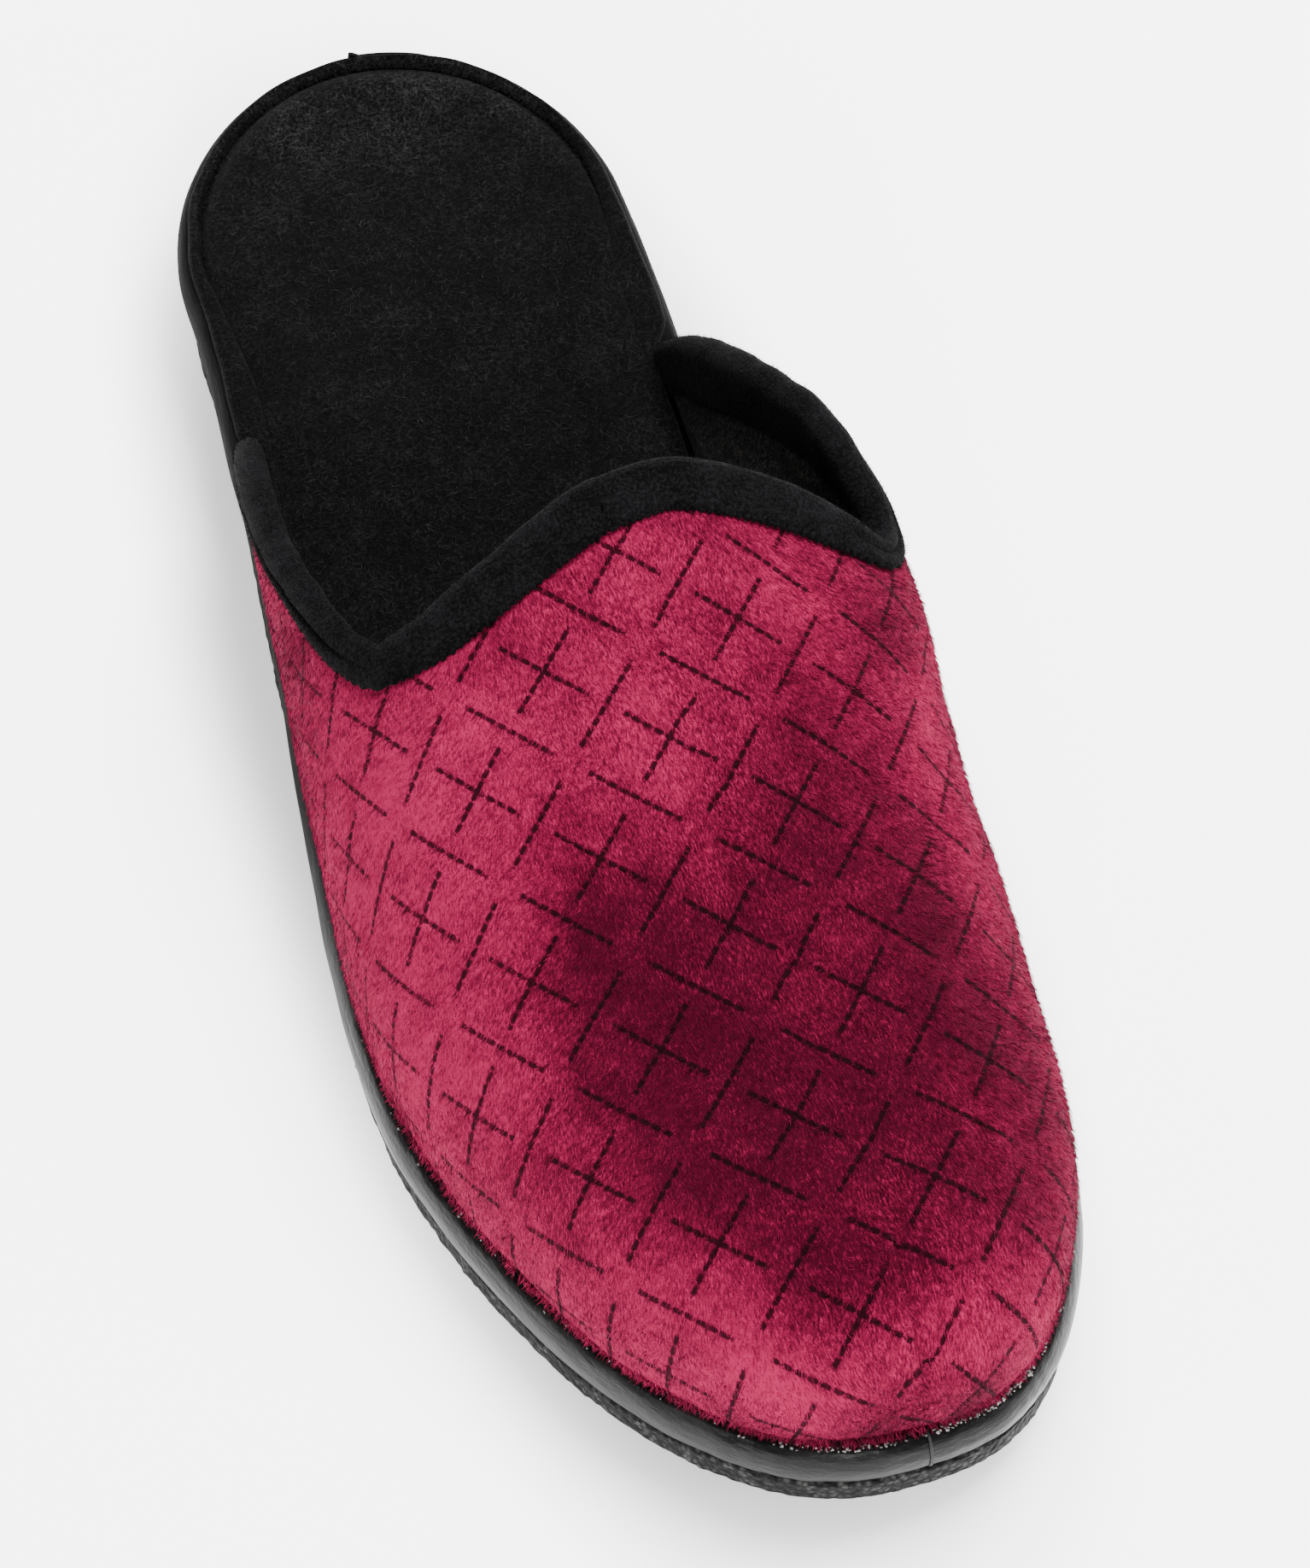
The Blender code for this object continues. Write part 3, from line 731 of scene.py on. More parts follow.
@dataclass(frozen=True)
class Felt:
    """Needled felt in black and charcoal fibres: matt, cloudy, with fine lighter hairs in it."""

    name: str = "needled_felt_charcoal"
    base: str = "#030303"
    lifted: str = "#262525"
    fibre: float = 0.0016

    def make(self) -> Material:
        """Builds the material."""
        tree = Tree(self.name)
        place = tree.add("TexCoord", out="Object")
        curl = tree.bent(place, 0.004, (0.003, 0.003, 0.003))
        hairs: object = 0.0
        for angle in (0.3, 1.4, 2.4):
            thread = tree.stretched(curl, (self.fibre * 0.16, self.fibre * 1.6, self.fibre), angle)
            thread = tree.add("TexNoise", {"Vector": thread, "Scale": 1.0})
            hairs = tree.add("Math.MAXIMUM", (tree.add("MapRange.SMOOTHSTEP", (thread, 0.56, 0.74)), hairs))
        cloud = tree.add("TexNoise", {"Vector": place, "Scale": 1 / 0.009, "Detail": 4.0, "Roughness": 0.6})
        speck = tree.add("TexNoise", {"Vector": place, "Scale": 1 / 0.0005, "Detail": 3.0, "Roughness": 0.75})
        light = tree.add("MapRange.SMOOTHSTEP", (speck, 0.42, 0.78, 0.0, 0.4))
        level = tree.add("Math.MULTIPLY_ADD", (hairs, 0.28, light))
        cloudy = tree.add("MapRange.SMOOTHSTEP", (cloud, 0.25, 0.75, 0.45, 1.25))
        # Painted light: the felt is made lighter at the heel's back, where its slope faces the front
        lengthways = tree.add("SeparateXYZ", (place,), "Y")
        lightening = tree.add("MapRange.SMOOTHSTEP", (lengthways, -0.132, -0.100, 2.3, 1.0))
        level = tree.add("Math.MULTIPLY", (tree.add("Math.MULTIPLY", (level, cloudy)), lightening))
        colour = tree.add("Mix.RGBA", {0: level, 6: srgb(self.base), 7: srgb(self.lifted)}, 2)
        bump = tree.add("Bump", {"Height": cloud, "Distance": 0.0008, "Strength": 0.4})
        bump = tree.add("Bump", {"Height": speck, "Distance": 0.0004, "Strength": 0.8, "Normal": bump})
        tree.feed(tree.shader, {"Base Color": colour, "Roughness": 0.95, "Specular IOR Level": 0.03,
                                "Sheen Weight": 0.02, "Sheen Roughness": 0.5, "Normal": bump})
        return tree.material


@dataclass(frozen=True)
class SatinWrap:
    """Polyurethane-coated cloth drawn round the platform: smooth satin black with a faint grain,
    soft highlights along the bulge and fine draw marks."""

    base: str = "#050505"
    # Lighter colour of the worn smears
    lightening: str = "#151515"
    roughness: float = 0.33      # at the toe
    dull: float = 0.75           # at the heel, where it is rubbed

    def make(self) -> Material:
        """Builds the material."""
        tree = Tree("coated_wrap_black")
        place = tree.add("TexCoord", out="Object")
        grain = tree.add("TexNoise", {"Vector": place, "Scale": 1 / 0.0009, "Detail": 3.0, "Roughness": 0.55})
        round_sole = tree.stretched(place, (0.010, 0.010, 0.0022))
        smear = tree.add("TexNoise", {"Vector": round_sole, "Scale": 1.0, "Detail": 4.0, "Roughness": 0.6})
        worn = tree.add("MapRange.SMOOTHSTEP", (smear, 0.42, 0.80))
        colour = tree.add("Mix.RGBA", {0: worn, 6: srgb(self.base), 7: srgb(self.lightening)}, 2)
        lengthways = tree.add("SeparateXYZ", (place,), "Y")
        gloss = tree.add("MapRange.SMOOTHSTEP", (lengthways, -0.02, 0.06, self.dull, self.roughness))
        gloss = tree.sway(smear, 0.34, gloss)
        shine = tree.add("MapRange.SMOOTHSTEP", (lengthways, -0.02, 0.06, 0.03, 0.11))
        bump = tree.add("Bump", {"Height": smear, "Distance": 0.0007, "Strength": 0.5})
        bump = tree.add("Bump", {"Height": grain, "Distance": 0.00012, "Strength": 0.6, "Normal": bump})
        tree.feed(tree.shader, {"Base Color": colour, "Roughness": gloss, "IOR": 1.5,
                                "Specular IOR Level": shine, "Normal": bump})
        return tree.material


@dataclass(frozen=True)
class MouldedRubber:
    """Foamed rubber with a pebbled mould face: matt black-grey, dusty on its high spots."""

    base: str = "#080808"
    dusty: str = "#444443"
    pebble: float = 0.0011

    def make(self) -> Material:
        """Builds the material."""
        tree = Tree("moulded_rubber_pebbled")
        place = tree.add("TexCoord", out="Object")
        cells = tree.add("TexVoronoi", {"Vector": place, "Scale": 1 / self.pebble, "Randomness": 1.0},
                         "Distance")
        dust = tree.add("TexNoise", {"Vector": place, "Scale": 1 / 0.0030, "Detail": 4.0, "Roughness": 0.7})
        fine = tree.add("TexNoise", {"Vector": place, "Scale": 1 / 0.0004, "Detail": 2.0, "Roughness": 0.6})
        top = tree.add("MapRange.SMOOTHSTEP", (cells, 0.15, 0.65, 1.0, 0.0))
        high = tree.add("Math.MULTIPLY", (top, tree.add("MapRange.SMOOTHSTEP", (dust, 0.40, 0.66))))
        colour = tree.add("Mix.RGBA", {0: high, 6: srgb(self.base), 7: srgb(self.dusty)}, 2)
        bump = tree.add("Bump", {"Height": cells, "Distance": 0.0006, "Strength": 0.9})
        bump = tree.add("Bump", {"Height": fine, "Distance": 0.00015, "Strength": 0.6, "Normal": bump})
        tree.feed(tree.shader, {"Base Color": colour, "Roughness": 0.66, "IOR": 1.52,
                                "Specular IOR Level": 0.12, "Normal": bump})
        return tree.material


@dataclass(frozen=True)
class Yarn:
    """Spun thread or loose fibre in one colour, a little uneven along its length."""

    name: str
    base: str
    lifted: str
    roughness: float = 0.7

    def make(self) -> Material:
        """Builds the material."""
        tree = Tree(self.name)
        place = tree.add("TexCoord", out="Object")
        patch = tree.add("TexNoise", {"Vector": place, "Scale": 1 / 0.0012, "Detail": 2.0, "Roughness": 0.6})
        patch = tree.add("MapRange.SMOOTHSTEP", (patch, 0.35, 0.68))
        twist = tree.add("TexNoise", {"Vector": place, "Scale": 1 / 0.0003, "Detail": 2.0, "Roughness": 0.6})
        colour = tree.add("Mix.RGBA", {0: patch, 6: srgb(self.base), 7: srgb(self.lifted)}, 2)
        bump = tree.add("Bump", {"Height": twist, "Distance": 0.0001, "Strength": 0.6})
        tree.feed(tree.shader, {"Base Color": colour, "Roughness": self.roughness, "Specular IOR Level": 0.3,
                                "Normal": bump})
        return tree.material


def finish_piece(obj: Thing, looks: Sequence[Material], slot: Slot,
                 stands_for: Sequence[str] = ()) -> Thing:
    """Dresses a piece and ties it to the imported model.

    Args:
        obj: the piece, in place.
        looks: its materials, by index.
        slot: the record's slot that its finish belongs to.
        stands_for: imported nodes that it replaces.

    Returns:
        The piece.
    """
    for look in looks:
        obj.data.materials.append(look)
    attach(obj, "root")
    if stands_for:
        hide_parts(*stands_for)
    log.info("%s: %d faces, in %s", obj.name, len(obj.data.polygons), slot.value)
    return obj


def hair_piece(name: str, roots: Array, tips: Array, width: Array, bend: Array | None = None,
               rings: int = 1, charts: dict[str, Array] | None = None) -> Thing:
    """Many closed three-sided hairs joined into one mesh, made from arrays.

    Args:
        name: the object's name.
        roots: where each hair starts.
        tips: where each ends.
        width: thickness of each at its root.
        bend: how far the middle of each is moved off the straight line.
        rings: cross sections before the tip, one for a plain cone.
        charts: vectors of three that all corners of a hair keep, by name.

    Returns:
        The object.
    """
    count = len(roots)
    run = tips - roots
    side = unit(np.cross(run, [0.31, 0.55, 0.77]))
    other = unit(np.cross(run, side))
    layers = []
    for r in range(rings):
        share = r / rings
        middle = roots + run * share
        if bend is not None:
            middle = middle + bend * (4 * share * (1 - share))
        for angle in HAIR_CORNERS:
            reach = (width * 0.5 * (1 - 0.45 * share))[:, None]
            layers.append(middle + reach * (side * math.cos(angle) + other * math.sin(angle)))
    layers.append(tips)
    each = len(layers)
    points = np.stack(layers, 1).reshape(-1, 3) + np.array(SHIFT)
    corners = [(0, 2, 1)]
    for r in range(rings - 1):
        for k in range(3):
            a, b = 3 * r + k, 3 * r + (k + 1) % 3
            corners += [(a, b, b + 3), (a, b + 3, a + 3)]
    base = 3 * (rings - 1)
    corners += [(base + k, base + (k + 1) % 3, each - 1) for k in range(3)]
    faces = (np.array(corners)[None] + (np.arange(count) * each)[:, None, None]).reshape(-1, 3)
    mesh = bpy.data.meshes.new(name)
    mesh.vertices.add(len(points))
    mesh.vertices.foreach_set("co", points.astype(np.float32).ravel())
    mesh.loops.add(faces.size)
    mesh.loops.foreach_set("vertex_index", faces.astype(np.int32).ravel())
    mesh.polygons.add(len(faces))
    mesh.polygons.foreach_set("loop_start", np.arange(0, faces.size, 3, dtype=np.int32))
    mesh.update(calc_edges=True)
    for chart, values in (charts or {}).items():
        layer = mesh.attributes.new(chart, "FLOAT_VECTOR", "POINT")
        layer.data.foreach_set("vector", np.repeat(values, each, axis=0).astype(np.float32).ravel())
    mesh.shade_smooth()
    return add_object(name, mesh)


@dataclass
class Vamp:
    """Velour vamp with its two side wings, its pile and its lining."""

    rows: int = 150
    cols: int = 220
    cloth_wall: float = 0.0011
    lining_wall: float = 0.0010
    lining_behind: float = 0.0015      # from the vamp's outer face to the lining
    tuck_height: float = 0.0024        # where the cloth turns under at the feather line
    tuck_depth: float = 0.0012
    under_binding: float = 0.0005      # how far the binding presses the cloth in
    pile_count: int = 48000
    pile_length: float = 0.0016
    pile_width: float = 0.00018
    print_origin: tuple[float, float] = (-17.6, -44.4)     # a cross, on the flat cloth in mm
    print_angle: float = 130.2                             # degrees, from flat X to the first row of crosses
    print_pitch: float = 22.6                              # mm
    edge_pull: float = 0.145      # the outer edge was pulled towards the toe in lasting
    pull_middle: float = 19.2     # mm along the flat cloth where that pull changes sides
    side_rise: float = 3.67       # mm that both edges were drawn down
    side_lean: float = 2.19
    # Brushed patches of the pile: place in checks, reach in checks, tone (dark below 0)
    nap: tuple[tuple[float, float, float, float], ...] = (
        (0.30, 2.45, 0.62, -1.35), (1.00, 0.10, 0.70, -0.50), (1.25, 1.70, 0.50, -0.80),
        (2.30, 1.55, 0.55, -0.90),
        (1.35, 2.75, 0.60, -0.95), (0.85, 3.35, 0.50, -0.75), (2.45, 2.60, 0.60, -0.90),
        (1.90, 3.55, 0.50, -0.85), (2.75, 3.95, 0.45, -1.00), (3.05, 1.90, 0.50, -0.80),
        (3.75, 2.45, 0.55, -0.90), (1.20, -0.75, 0.45, -0.80), (0.75, 0.75, 0.50, -0.35),
        (1.75, 0.85, 0.55, -0.60), (-0.35, 1.75, 0.50, -0.30), (3.30, 3.10, 0.45, -0.60),
        (-2.10, 1.40, 0.80, 0.40), (-1.60, 2.60, 0.90, 0.80), (-0.60, 3.90, 0.75, 0.75),
        (-0.90, 1.45, 0.55, 0.45), (1.00, 1.20, 0.50, -0.30), (2.10, 1.05, 0.45, -0.65),
        (1.50, -0.75, 0.50, 0.75), (2.40, 2.90, 0.90, -0.45), (2.90, 3.95, 0.50, -0.50),
        (1.50, 3.50, 0.40, -0.35), (3.65, 4.55, 0.45, -0.95), (2.75, 5.25, 0.45, -0.95),
        (4.00, 2.40, 0.40, 0.50), (-2.40, 3.60, 0.70, 0.35), (-1.70, 5.30, 0.60, 0.45),
        (-1.00, 0.80, 0.55, -0.30), (3.60, -1.20, 0.60, -0.15), (0.20, 3.70, 0.45, 0.45),
        (3.40, 2.30, 0.80, 0.32), (4.10, 4.05, 0.35, -0.60), (0.00, 1.90, 0.30, 0.40),
        (-0.50, 1.00, 0.35, 0.35),
        (0.10, 1.15, 0.50, 0.55), (-0.85, 0.30, 0.60, 0.45), (1.75, -0.05, 0.40, 0.50),
        (2.20, 0.75, 0.45, 0.70), (-0.45, 2.65, 0.45, 0.55), (3.45, 4.05, 0.60, 0.70),
        (2.75, 4.60, 0.60, 1.25), (1.55, 4.75, 0.60, 0.40), (0.65, 5.00, 0.60, 0.45),
        (2.00, 5.40, 0.50, 0.30), (4.20, 3.60, 0.40, 0.70), (0.40, -0.30, 0.45, 0.35),
    )
    # Soft troughs (below 0) and ridges: place in checks, half length, half width in checks, turn in
    # degrees from the row of crosses, height in mm
    folds: tuple[tuple[float, float, float, float, float, float], ...] = (
        (0.30, 2.50, 0.55, 0.26, 60.0, -0.7),
        (0.10, 0.95, 0.60, 0.30, -20.0, -0.3),
        (1.95, 0.10, 0.45, 0.18, 80.0, -0.5),
        (2.25, 0.45, 0.40, 0.16, 70.0, 0.4),
        (2.75, 3.95, 0.55, 0.34, -5.0, -0.4),
        (3.30, 4.10, 0.90, 0.44, -10.0, 0.3),
        (1.35, 2.75, 0.80, 0.45, 10.0, -0.3),
        (-1.40, 2.00, 0.90, 0.30, 75.0, 0.4),
        (3.00, 1.70, 0.60, 0.25, 70.0, -0.4),
    )
    cloth: FlatCloth = field(default_factory=FlatCloth)

    def __post_init__(self) -> None:
        """Keeps the rib places that a column is read from."""
        self.fine_places = LAST.rib_places(80)

    def place_of(self, v: Array) -> Array:
        """Rib place w of a column share v."""
        return np.interp(v, np.linspace(0, 1, len(self.fine_places)), self.fine_places)

    def point(self, u: Array, v: Array) -> Array:
        """Outer face of the lasted cloth."""
        return lasted(u, self.place_of(v))

    def flat_mm(self, u: Array, v: Array) -> Array:
        """Flat place of the cloth in mm, with a third coordinate of 0."""
        flat = self.cloth.at(u, self.place_of(v)) * 1000
        return np.column_stack([flat, np.zeros(len(flat))])

    def check(self, u: Array, v: Array) -> Array:
        """Place on the print: whole numbers at the crosses.

        Args:
            u: share of the rows, 0 at the top edge.
            v: share of the columns, 0 at the outer side.

        Returns:
            Places in checks, with a third coordinate of 0.
        """
        flat = self.flat_mm(u, v)
        x, y = flat[:, 0], flat[:, 1]
        reach = x / 60.0      # 60 mm is about half the flat cloth's width
        x = x - self.edge_pull * reach ** 3 * (y - self.pull_middle) - self.print_origin[0]
        y = y + self.side_rise * reach ** 2 - self.side_lean * reach - self.print_origin[1]
        c, s = math.cos(math.radians(self.print_angle)), math.sin(math.radians(self.print_angle))
        return np.column_stack([(x * c + y * s), (x * s - y * c), np.zeros(len(x))]) / self.print_pitch

    def tone(self, u: Array, v: Array) -> Array:
        """Brushed tone, and how much the pile leans to the outer and to the inner side.

        Args:
            u: share of the rows, 0 at the top edge.
            v: share of the columns, 0 at the outer side.

        Returns:
            Tone, lean to the outer side and lean to the inner side, as vectors of three.
        """
        check = self.check(u, v)
        total = np.zeros(len(check))
        for a, b, reach, tone in self.nap:
            distance = ((check[:, 0] - a) ** 2 + (check[:, 1] - b) ** 2) / reach ** 2
            total += tone * np.exp(-distance)
        x = self.flat_mm(u, v)[:, 0]
        return np.column_stack([np.clip(total, -1.25, 1.25), ramp((x - 8) / 34), ramp((-8 - x) / 34)])

    def relief(self, points: Array, check: Array, edge: Array) -> Array:
        """How far the cloth stands off the plain last, in metres.

        Args:
            points: places on the last.
            check: places on the print.
            edge: distance from the top edge.
        """
        rise = 0.00028 * ripple(points, 0.024, 3) + 0.00010 * ripple(points, 0.007, 5)
        for a, b, half_length, half_width, turn, height in self.folds:
            c, s = math.cos(math.radians(turn)), math.sin(math.radians(turn))
            x, y = check[:, 0] - a, check[:, 1] - b
            far = ((x * c + y * s) / half_length) ** 2 + ((y * c - x * s) / half_width) ** 2
            rise = rise + height * MM * np.exp(-far)
        above = points[:, 2] - LAST.top_line(points[:, 1])
        rise = rise - self.tuck_depth * np.clip(1 - above / self.tuck_height, 0, 1) ** 2
        return rise - self.under_binding * ramp(1.6 - edge / 0.006)

    def skin(self, rows: int, cols: int, offset: float, charted: bool) -> BMesh:
        """One skin of the vamp.

        Args:
            rows: faces from the top edge to the toe.
            cols: faces across.
            offset: distance from the last's face, outwards.
            charted: whether the skin keeps the cloth's charts and its relief.
        """
        def place_chart(u: Array, v: Array) -> Array:
            """Row, column and distance from the top edge."""
            edge = np.linalg.norm(self.point(u, v) - self.point(np.zeros_like(u), v), axis=-1)
            return np.column_stack([u, v, edge])

        charts: dict[str, Surface] = {"place": place_chart}
        if charted:
            charts |= {"cloth": self.flat_mm, "check": self.check, "nap": self.tone}
        bm = grid_bmesh(rows, cols, self.point, charts)
        crown = max(bm.verts, key=lambda vert: vert.co.z)
        if crown.normal.z < 0:
            bmesh.ops.reverse_faces(bm, faces=bm.faces)
        bm.normal_update()
        points = np.array([vert.co[:] for vert in bm.verts])
        chart = bm.verts.layers.float_vector["place"]
        place = np.array([vert[chart][:] for vert in bm.verts])
        rise = np.full(len(points), offset)
        if charted:
            rise += self.relief(points, self.check(place[:, 0], place[:, 1]), place[:, 2])
        for vert, amount in zip(bm.verts, rise):
            vert.co += vert.normal * float(amount)
        low = LAST.top_line(points[:, 1]) + LAST.gap
        for vert, floor in zip(bm.verts, low):
            vert.co.z = max(vert.co.z, float(floor))
        bm.verts.layers.float_vector.remove(chart)
        return bm

    def build(self, velour: Material, felt: Material) -> None:
        """Makes the vamp, its pile and its lining.

        Args:
            velour: finish of the vamp and its pile.
            felt: finish of the lining.
        """
        vamp = link_object("velour_vamp", self.skin(self.rows, self.cols, 0.0, True))
        thicken(vamp, self.cloth_wall, -1.0)
        finish_piece(vamp, [velour], Slot.VELOUR, ["upper"])
        lining = link_object("vamp_lining", self.skin(70, 110, -self.lining_behind, False))
        thicken(lining, self.lining_wall, -1.0)
        finish_piece(lining, [felt], Slot.FELT)
        self.pile(vamp, velour)

    def pile(self, vamp: Thing, velour: Material) -> None:
        """Locks of pile that lie on the cloth, leaning away from the ridge and towards the toe.

        Args:
            vamp: the vamp, whose outer face the locks stand on.
            velour: their finish.
        """
        rng = np.random.default_rng(11)
        mesh = vamp.data
        mesh.calc_loop_triangles()

        def read(rows: bpy.types.bpy_prop_collection, key: str, kind: type = np.float32) -> Array:
            """Threes of numbers that a mesh keeps."""
            values = np.zeros(len(rows) * 3, kind)
            rows.foreach_get(key, values)
            return values.reshape(-1, 3)

        co = read(mesh.vertices, "co").astype(float)
        normal = read(mesh.vertex_normals, "vector").astype(float)
        tris = read(mesh.loop_triangles, "vertices", np.int32)
        a, b, c = (co[tris[:, k]] for k in range(3))
        area = np.linalg.norm(np.cross(b - a, c - a), axis=1)
        chosen = tris[rng.choice(len(tris), self.pile_count, p=area / area.sum())]
        mix = rng.dirichlet((1.0, 1.0, 1.0), self.pile_count)[:, :, None]
        roots = (co[chosen] * mix).sum(1) - np.array(SHIFT)
        up = unit((normal[chosen] * mix).sum(1))
        charts = {}
        for name in ("cloth", "check", "nap"):
            charts[name] = (read(mesh.attributes[name].data, "vector")[chosen] * mix).sum(1)
        lean = charts["nap"][:, 1:2] - charts["nap"][:, 2:3]
        away = np.column_stack([lean[:, 0] * 1.1, np.full(len(roots), 0.75),
                                -0.35 - np.abs(lean[:, 0]) * 0.6])
        swirl = np.stack([ripple(roots, 0.020, seed) for seed in (21, 22, 23)], -1)
        away = away + 0.45 * swirl + rng.normal(scale=0.22, size=roots.shape)
        away = unit(away - up * (away * up).sum(1, keepdims=True))
        charts["nap"][:, 0] += rng.normal(scale=0.35, size=len(roots)) - 0.05
        rise = rng.uniform(0.14, 0.42, (len(roots), 1)) * (1.15 - 0.5 * charts["nap"][:, :1])
        length = self.pile_length * rng.uniform(0.6, 1.25, (len(roots), 1))
        run = unit(away + up * rise) * length
        obj = hair_piece("velour_pile", roots - up * 0.0001, roots + run,
                         self.pile_width * rng.uniform(0.6, 1.3, len(roots)), charts=charts)
        finish_piece(obj, [velour], Slot.VELOUR)


@dataclass
class Binding:
    """Plush tape folded over the top edge, with its overlocked lower edge and its nap."""

    depth: float = 0.0085
    skin: float = 0.0012
    stations: int = 430                # on each half of the top edge
    crease: float = 0.75               # how far the tape sinks in along the edge line of the wings
    scallop: float = 0.00022
    stitch_pitch: float = 0.0013
    hair_count: int = 15000
    hair_length: float = 0.0007

    def __post_init__(self) -> None:
        """Reads the edge's frame from the last."""
        w = LAST.rib_places(self.stations)
        t = LAST.edge_start(w)
        self.point, self.normal, by_t, by_w = LAST.shell_frame(t, w)
        run = unit(np.gradient(self.point, axis=0))
        into = unit(np.cross(run, self.normal))
        tt, ww, tw = (by_t * by_t).sum(-1), (by_w * by_w).sum(-1), (by_t * by_w).sum(-1)
        it, iw = (into * by_t).sum(-1), (into * by_w).sum(-1)
        det = tt * ww - tw * tw
        dt, dw = (it * ww - iw * tw) / det, (iw * tt - it * tw) / det
        dw *= ramp(np.minimum(w, 2 - w) / 0.16)
        into = by_t * dt[:, None] + by_w * dw[:, None]
        length = np.linalg.norm(into, axis=-1)
        self.w, self.t, self.into = w, t, unit(into)
        self.dt, self.dw = dt / length, dw / length
        step = np.linalg.norm(np.diff(self.point, axis=0), axis=1)
        self.run_length = np.concatenate([[0], np.cumsum(step)])
        self.leg = along(LEG, 1, np.minimum(w, 2 - w))

    def on_cloth(self, distance: Array) -> tuple[Array, Array]:
        """Point and normal on the last at a distance from the edge, for each station."""
        return LAST.shell_frame(self.t + self.dt * distance, self.w + self.dw * distance)[:2]

    def section(self) -> Array:
        """Closed sections of the tape, one for each station: stations x places x 3."""
        reach = (1.0, 0.985, 0.95, 0.90, 0.82, 0.72, 0.60, 0.45, 0.30, 0.15, 0.0)
        teeth = np.sin(2 * np.pi * self.run_length / self.stitch_pitch)
        lump = 0.10 * MM * ripple(self.point, 0.006, 31)[:, None]
        beside = np.minimum(self.w, 2 - self.w)
        skin = self.skin * (0.35 + 0.65 * ramp(beside / 0.16))
        rows = []
        for x in reach:
            distance = x * self.depth * self.leg + (self.scallop * teeth if x > 0.93 else 0.0)
            point, normal = self.on_cloth(distance)
            sunk = 1 - self.crease * ramp((0.62 - beside) / 0.2) * math.exp(-((x - 0.3) / 0.12) ** 2)
            thick = 0.0003 + skin * math.sqrt(1 - x ** 5) * sunk
            rows.append(point + normal * thick[:, None] + normal * lump * (1 - x))
        middle = self.point - self.normal * LAST.wall / 2
        radius = (LAST.wall / 2 + 0.0003 + skin)[:, None]
        for angle in np.radians((25, 50, 75, 90, 105, 130, 155)):
            turn = self.normal * np.cos(angle) - self.into * np.sin(angle)
            rows.append(middle + turn * radius + turn * lump)
        for x in reversed(reach):
            point, normal = self.on_cloth(np.full(len(self.w), x * self.depth))
            thick = LAST.wall + 0.0003 + skin * math.sqrt(1 - x ** 5)
            rows.append(point - normal * thick[:, None])
        for x in (0.9, 0.5, 0.1):
            point, normal = self.on_cloth(np.full(len(self.w), x * self.depth))
            rows.append(point - normal * (LAST.wall + 0.0001))
        rows.append(middle - self.into * 0.0009)
        for x in (0.1, 0.5, 0.9):
            point, normal = self.on_cloth(x * self.depth * self.leg)
            rows.append(point + normal * 0.0001)
        ring = np.stack(rows, 1)
        ring[..., 2] = np.maximum(ring[..., 2], LAST.top_line(ring[..., 1]) + LAST.gap)
        return ring

    def build(self, plush: Material, yarn: Material) -> None:
        """Makes the tape, its stitches and its nap.

        Args:
            plush: finish of the tape and its nap.
            yarn: finish of the stitches.
        """
        ring = self.section()
        stations, size = ring.shape[:2]

        def place(u: Array, v: Array) -> Array:
            """Looks a corner up in the sections."""
            i = np.rint(u * (stations - 1)).astype(int)
            return ring[i, np.rint(v * size).astype(int) % size]

        bm = grid_bmesh(stations - 1, size, place)
        ends = [edge for edge in bm.edges if edge.is_boundary]
        bmesh.ops.holes_fill(bm, edges=ends, sides=0)
        bmesh.ops.recalc_face_normals(bm, faces=bm.faces)
        tape = link_object("plush_binding", bm)
        finish_piece(tape, [plush], Slot.PLUSH, ["collar_binding"])
        self.stitches(yarn)
        self.nap(ring, plush)

    def stitches(self, yarn: Material) -> None:
        """Overlock stitches along the lower outer edge, one loop to each tooth.

        Args:
            yarn: finish of the stitches.
        """
        count = int(self.run_length[-1] / self.stitch_pitch)
        places = (np.arange(count) + 0.25) * self.stitch_pitch
        edge, lift = self.on_cloth(self.depth * self.leg)
        back, _ = self.on_cloth(self.depth * self.leg * 0.86)
        bm = bmesh.new()
        for i, at in enumerate(places):
            low, high, normal = (Vector([float(np.interp(at, self.run_length, rows[:, k])) for k in range(3)])
                                 for rows in (edge, back, lift))
            low += normal * 0.0002
            high += normal * (0.0008 + 0.00012 * math.sin(i * 2.3))
            along_stitch = high - low
            made = bmesh.ops.create_uvsphere(bm, u_segments=6, v_segments=5, radius=1.0)["verts"]
            turn = along_stitch.to_track_quat("Z", "Y").to_matrix().to_4x4()
            size = Matrix.Diagonal((0.00020, 0.00016, along_stitch.length * (0.62 + 0.1 * (i % 3)), 1.0))
            bmesh.ops.transform(bm, matrix=Matrix.Translation((low + high) / 2) @ turn @ size, verts=made)
        finish_piece(link_object("binding_overlock", bm), [yarn], Slot.PLUSH)

